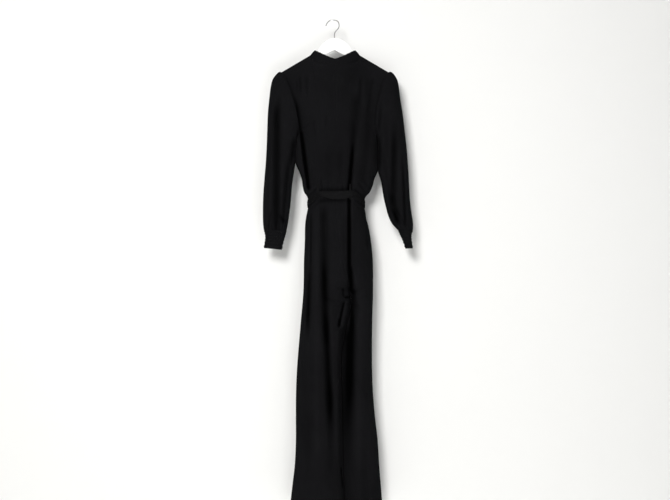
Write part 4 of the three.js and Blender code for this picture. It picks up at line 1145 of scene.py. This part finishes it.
# the cut of each piece: width and length in metres, area in square metres, and what it hangs from
backs = ["bodice_back_left", "bodice_back_right"]
cuts = dict(
    bodice_back_left=(0.19, 0.52, 0.075, ["hanger_body"]), bodice_back_right=(0.19, 0.52, 0.075, ["hanger_body"]),
    bodice_front=(0.37, 0.52, 0.145, ["hanger_body"]), collar_band=(0.24, 0.04, 0.0095, ["hanger_body"]),
    sleeve_left=(0.3, 0.56, 0.14, backs), sleeve_right=(0.3, 0.56, 0.14, backs),
    cuff_left=(0.2, 0.07, 0.0125, ["sleeve_left"]), cuff_right=(0.2, 0.07, 0.0125, ["sleeve_right"]),
    trouser_back_left=(0.24, 1.07, 0.19, backs), trouser_back_right=(0.24, 1.07, 0.19, backs),
    trouser_front_left=(0.24, 1.07, 0.185, ["bodice_front"]), trouser_front_right=(0.24, 1.07, 0.185, ["bodice_front"]),
    belt=(0.5, 0.028, 0.0125, ["trouser_back_left", "trouser_back_right"]),
    belt_loop_left=(0.01, 0.065, 0.0004, ["bodice_back_left"]),
    belt_loop_right=(0.01, 0.065, 0.0004, ["bodice_back_right"]),
    belt_end_left=(0.026, 0.24, 0.0056, ["belt"]), belt_end_right=(0.026, 0.265, 0.0062, ["belt"]),
)
for node, piece in pieces.items():
    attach(piece, "root")
    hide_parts(node)
for piece in stitches.values():
    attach(piece, "root")
for node, (width, length, area, over) in cuts.items():
    piece = pieces[node]

# stage, lights and camera, in metres
stage = dict(
    wallY=0.088, floorZ=-1.9, reach=3, wallTop=1.6, floorReach=4, wallColour=(0.86, 0.86, 0.85, 1),
    floorColour=(0.8, 0.8, 0.78, 1), roomColour=(1, 0.995, 0.985, 1), roomLight=0.22,
)
lights = dict(
    keyLight=dict(place=(-0.8, -3.4, 0.5), target=(0, 0, -0.9), size=(1.0, 1.0), power=110, colour=(1, 0.995, 0.985)),
    fillLight=dict(place=(0.5, -2.7, -1.9), target=(0, 0, -1.3), size=(1.4, 1.0), power=25, colour=(0.97, 0.985, 1)),
    backFill=dict(place=(0.6, 2.8, 0.1), target=(0, 0, -0.8), size=(1.6, 1.6), power=80, colour=(1, 1, 1)),
)
view = dict(place=(0.0048, -2.6, -0.7827), lens=41.1, farthest=20)


def stageMaterial(name, colour, seeThroughBack):
    material, add, coordinates = newMaterial(name)
    paint = noise(add, coordinates, 90.0, 4.0)["Fac"]
    values = {"Base Color": colour, "Roughness": 0.8, "Normal": bumped(add, paint, 0.05, 0.001)}
    surface = add("ShaderNodeBsdfPrincipled", inputs=values).outputs[0]
    if seeThroughBack:  # seen from behind the wall is clear, and the light behind it reaches the suit's front
        clear = add("ShaderNodeBsdfTransparent").outputs[0]
        behind = add("ShaderNodeNewGeometry").outputs["Backfacing"]
        shadowRay = add("ShaderNodeLightPath").outputs["Is Shadow Ray"]
        either = maths(add, "MAXIMUM", behind, shadowRay)
        surface = add("ShaderNodeMixShader", inputs={0: either, 1: surface, 2: clear}).outputs[0]
    add("ShaderNodeOutputMaterial", inputs={"Surface": surface})
    return material


def stagePlane(name, corners, material):
    mesh = bpy.data.meshes.new(name)
    mesh.from_pydata(corners, [], [(0, 1, 2, 3)])
    addObject(name, mesh, material)


x, y, z, top, far = stage["reach"], stage["wallY"], stage["floorZ"], stage["wallTop"], stage["floorReach"]
wallPaint = stageMaterial("wallPaint", stage["wallColour"], True)
floorPaint = stageMaterial("floorPaint", stage["floorColour"], False)
stagePlane("wall", [(-x, y, z), (x, y, z), (x, y, top), (-x, y, top)], wallPaint)
stagePlane("floor", [(-x, -far, z), (x, -far, z), (x, far, z), (-x, far, z)], floorPaint)

for name, facts in lights.items():
    light = bpy.data.lights.new(name, "AREA")
    light.shape = "RECTANGLE"
    light.size, light.size_y = facts["size"]
    light.energy = facts["power"]
    light.color = facts["colour"]
    lamp = bpy.data.objects.new(name, light)
    bpy.context.scene.collection.objects.link(lamp)
    lamp.location = facts["place"]
    lamp.rotation_euler = (Vector(facts["target"]) - lamp.location).to_track_quat("-Z", "Y").to_euler()
world = bpy.data.worlds.new("room")
bpy.context.scene.world = world
world.use_nodes = True
world.node_tree.nodes["Background"].inputs["Color"].default_value = stage["roomColour"]
world.node_tree.nodes["Background"].inputs["Strength"].default_value = stage["roomLight"]

camera = bpy.data.cameras.new("camera")
camera.lens = view["lens"]
camera.clip_end = view["farthest"]
cameraObject = bpy.data.objects.new("camera", camera)
cameraObject.location = view["place"]
cameraObject.rotation_euler = (math.radians(90), 0, 0)
bpy.context.scene.collection.objects.link(cameraObject)
bpy.context.scene.camera = cameraObject
bpy.context.scene.view_settings.view_transform = "Standard"
print("stage ready")
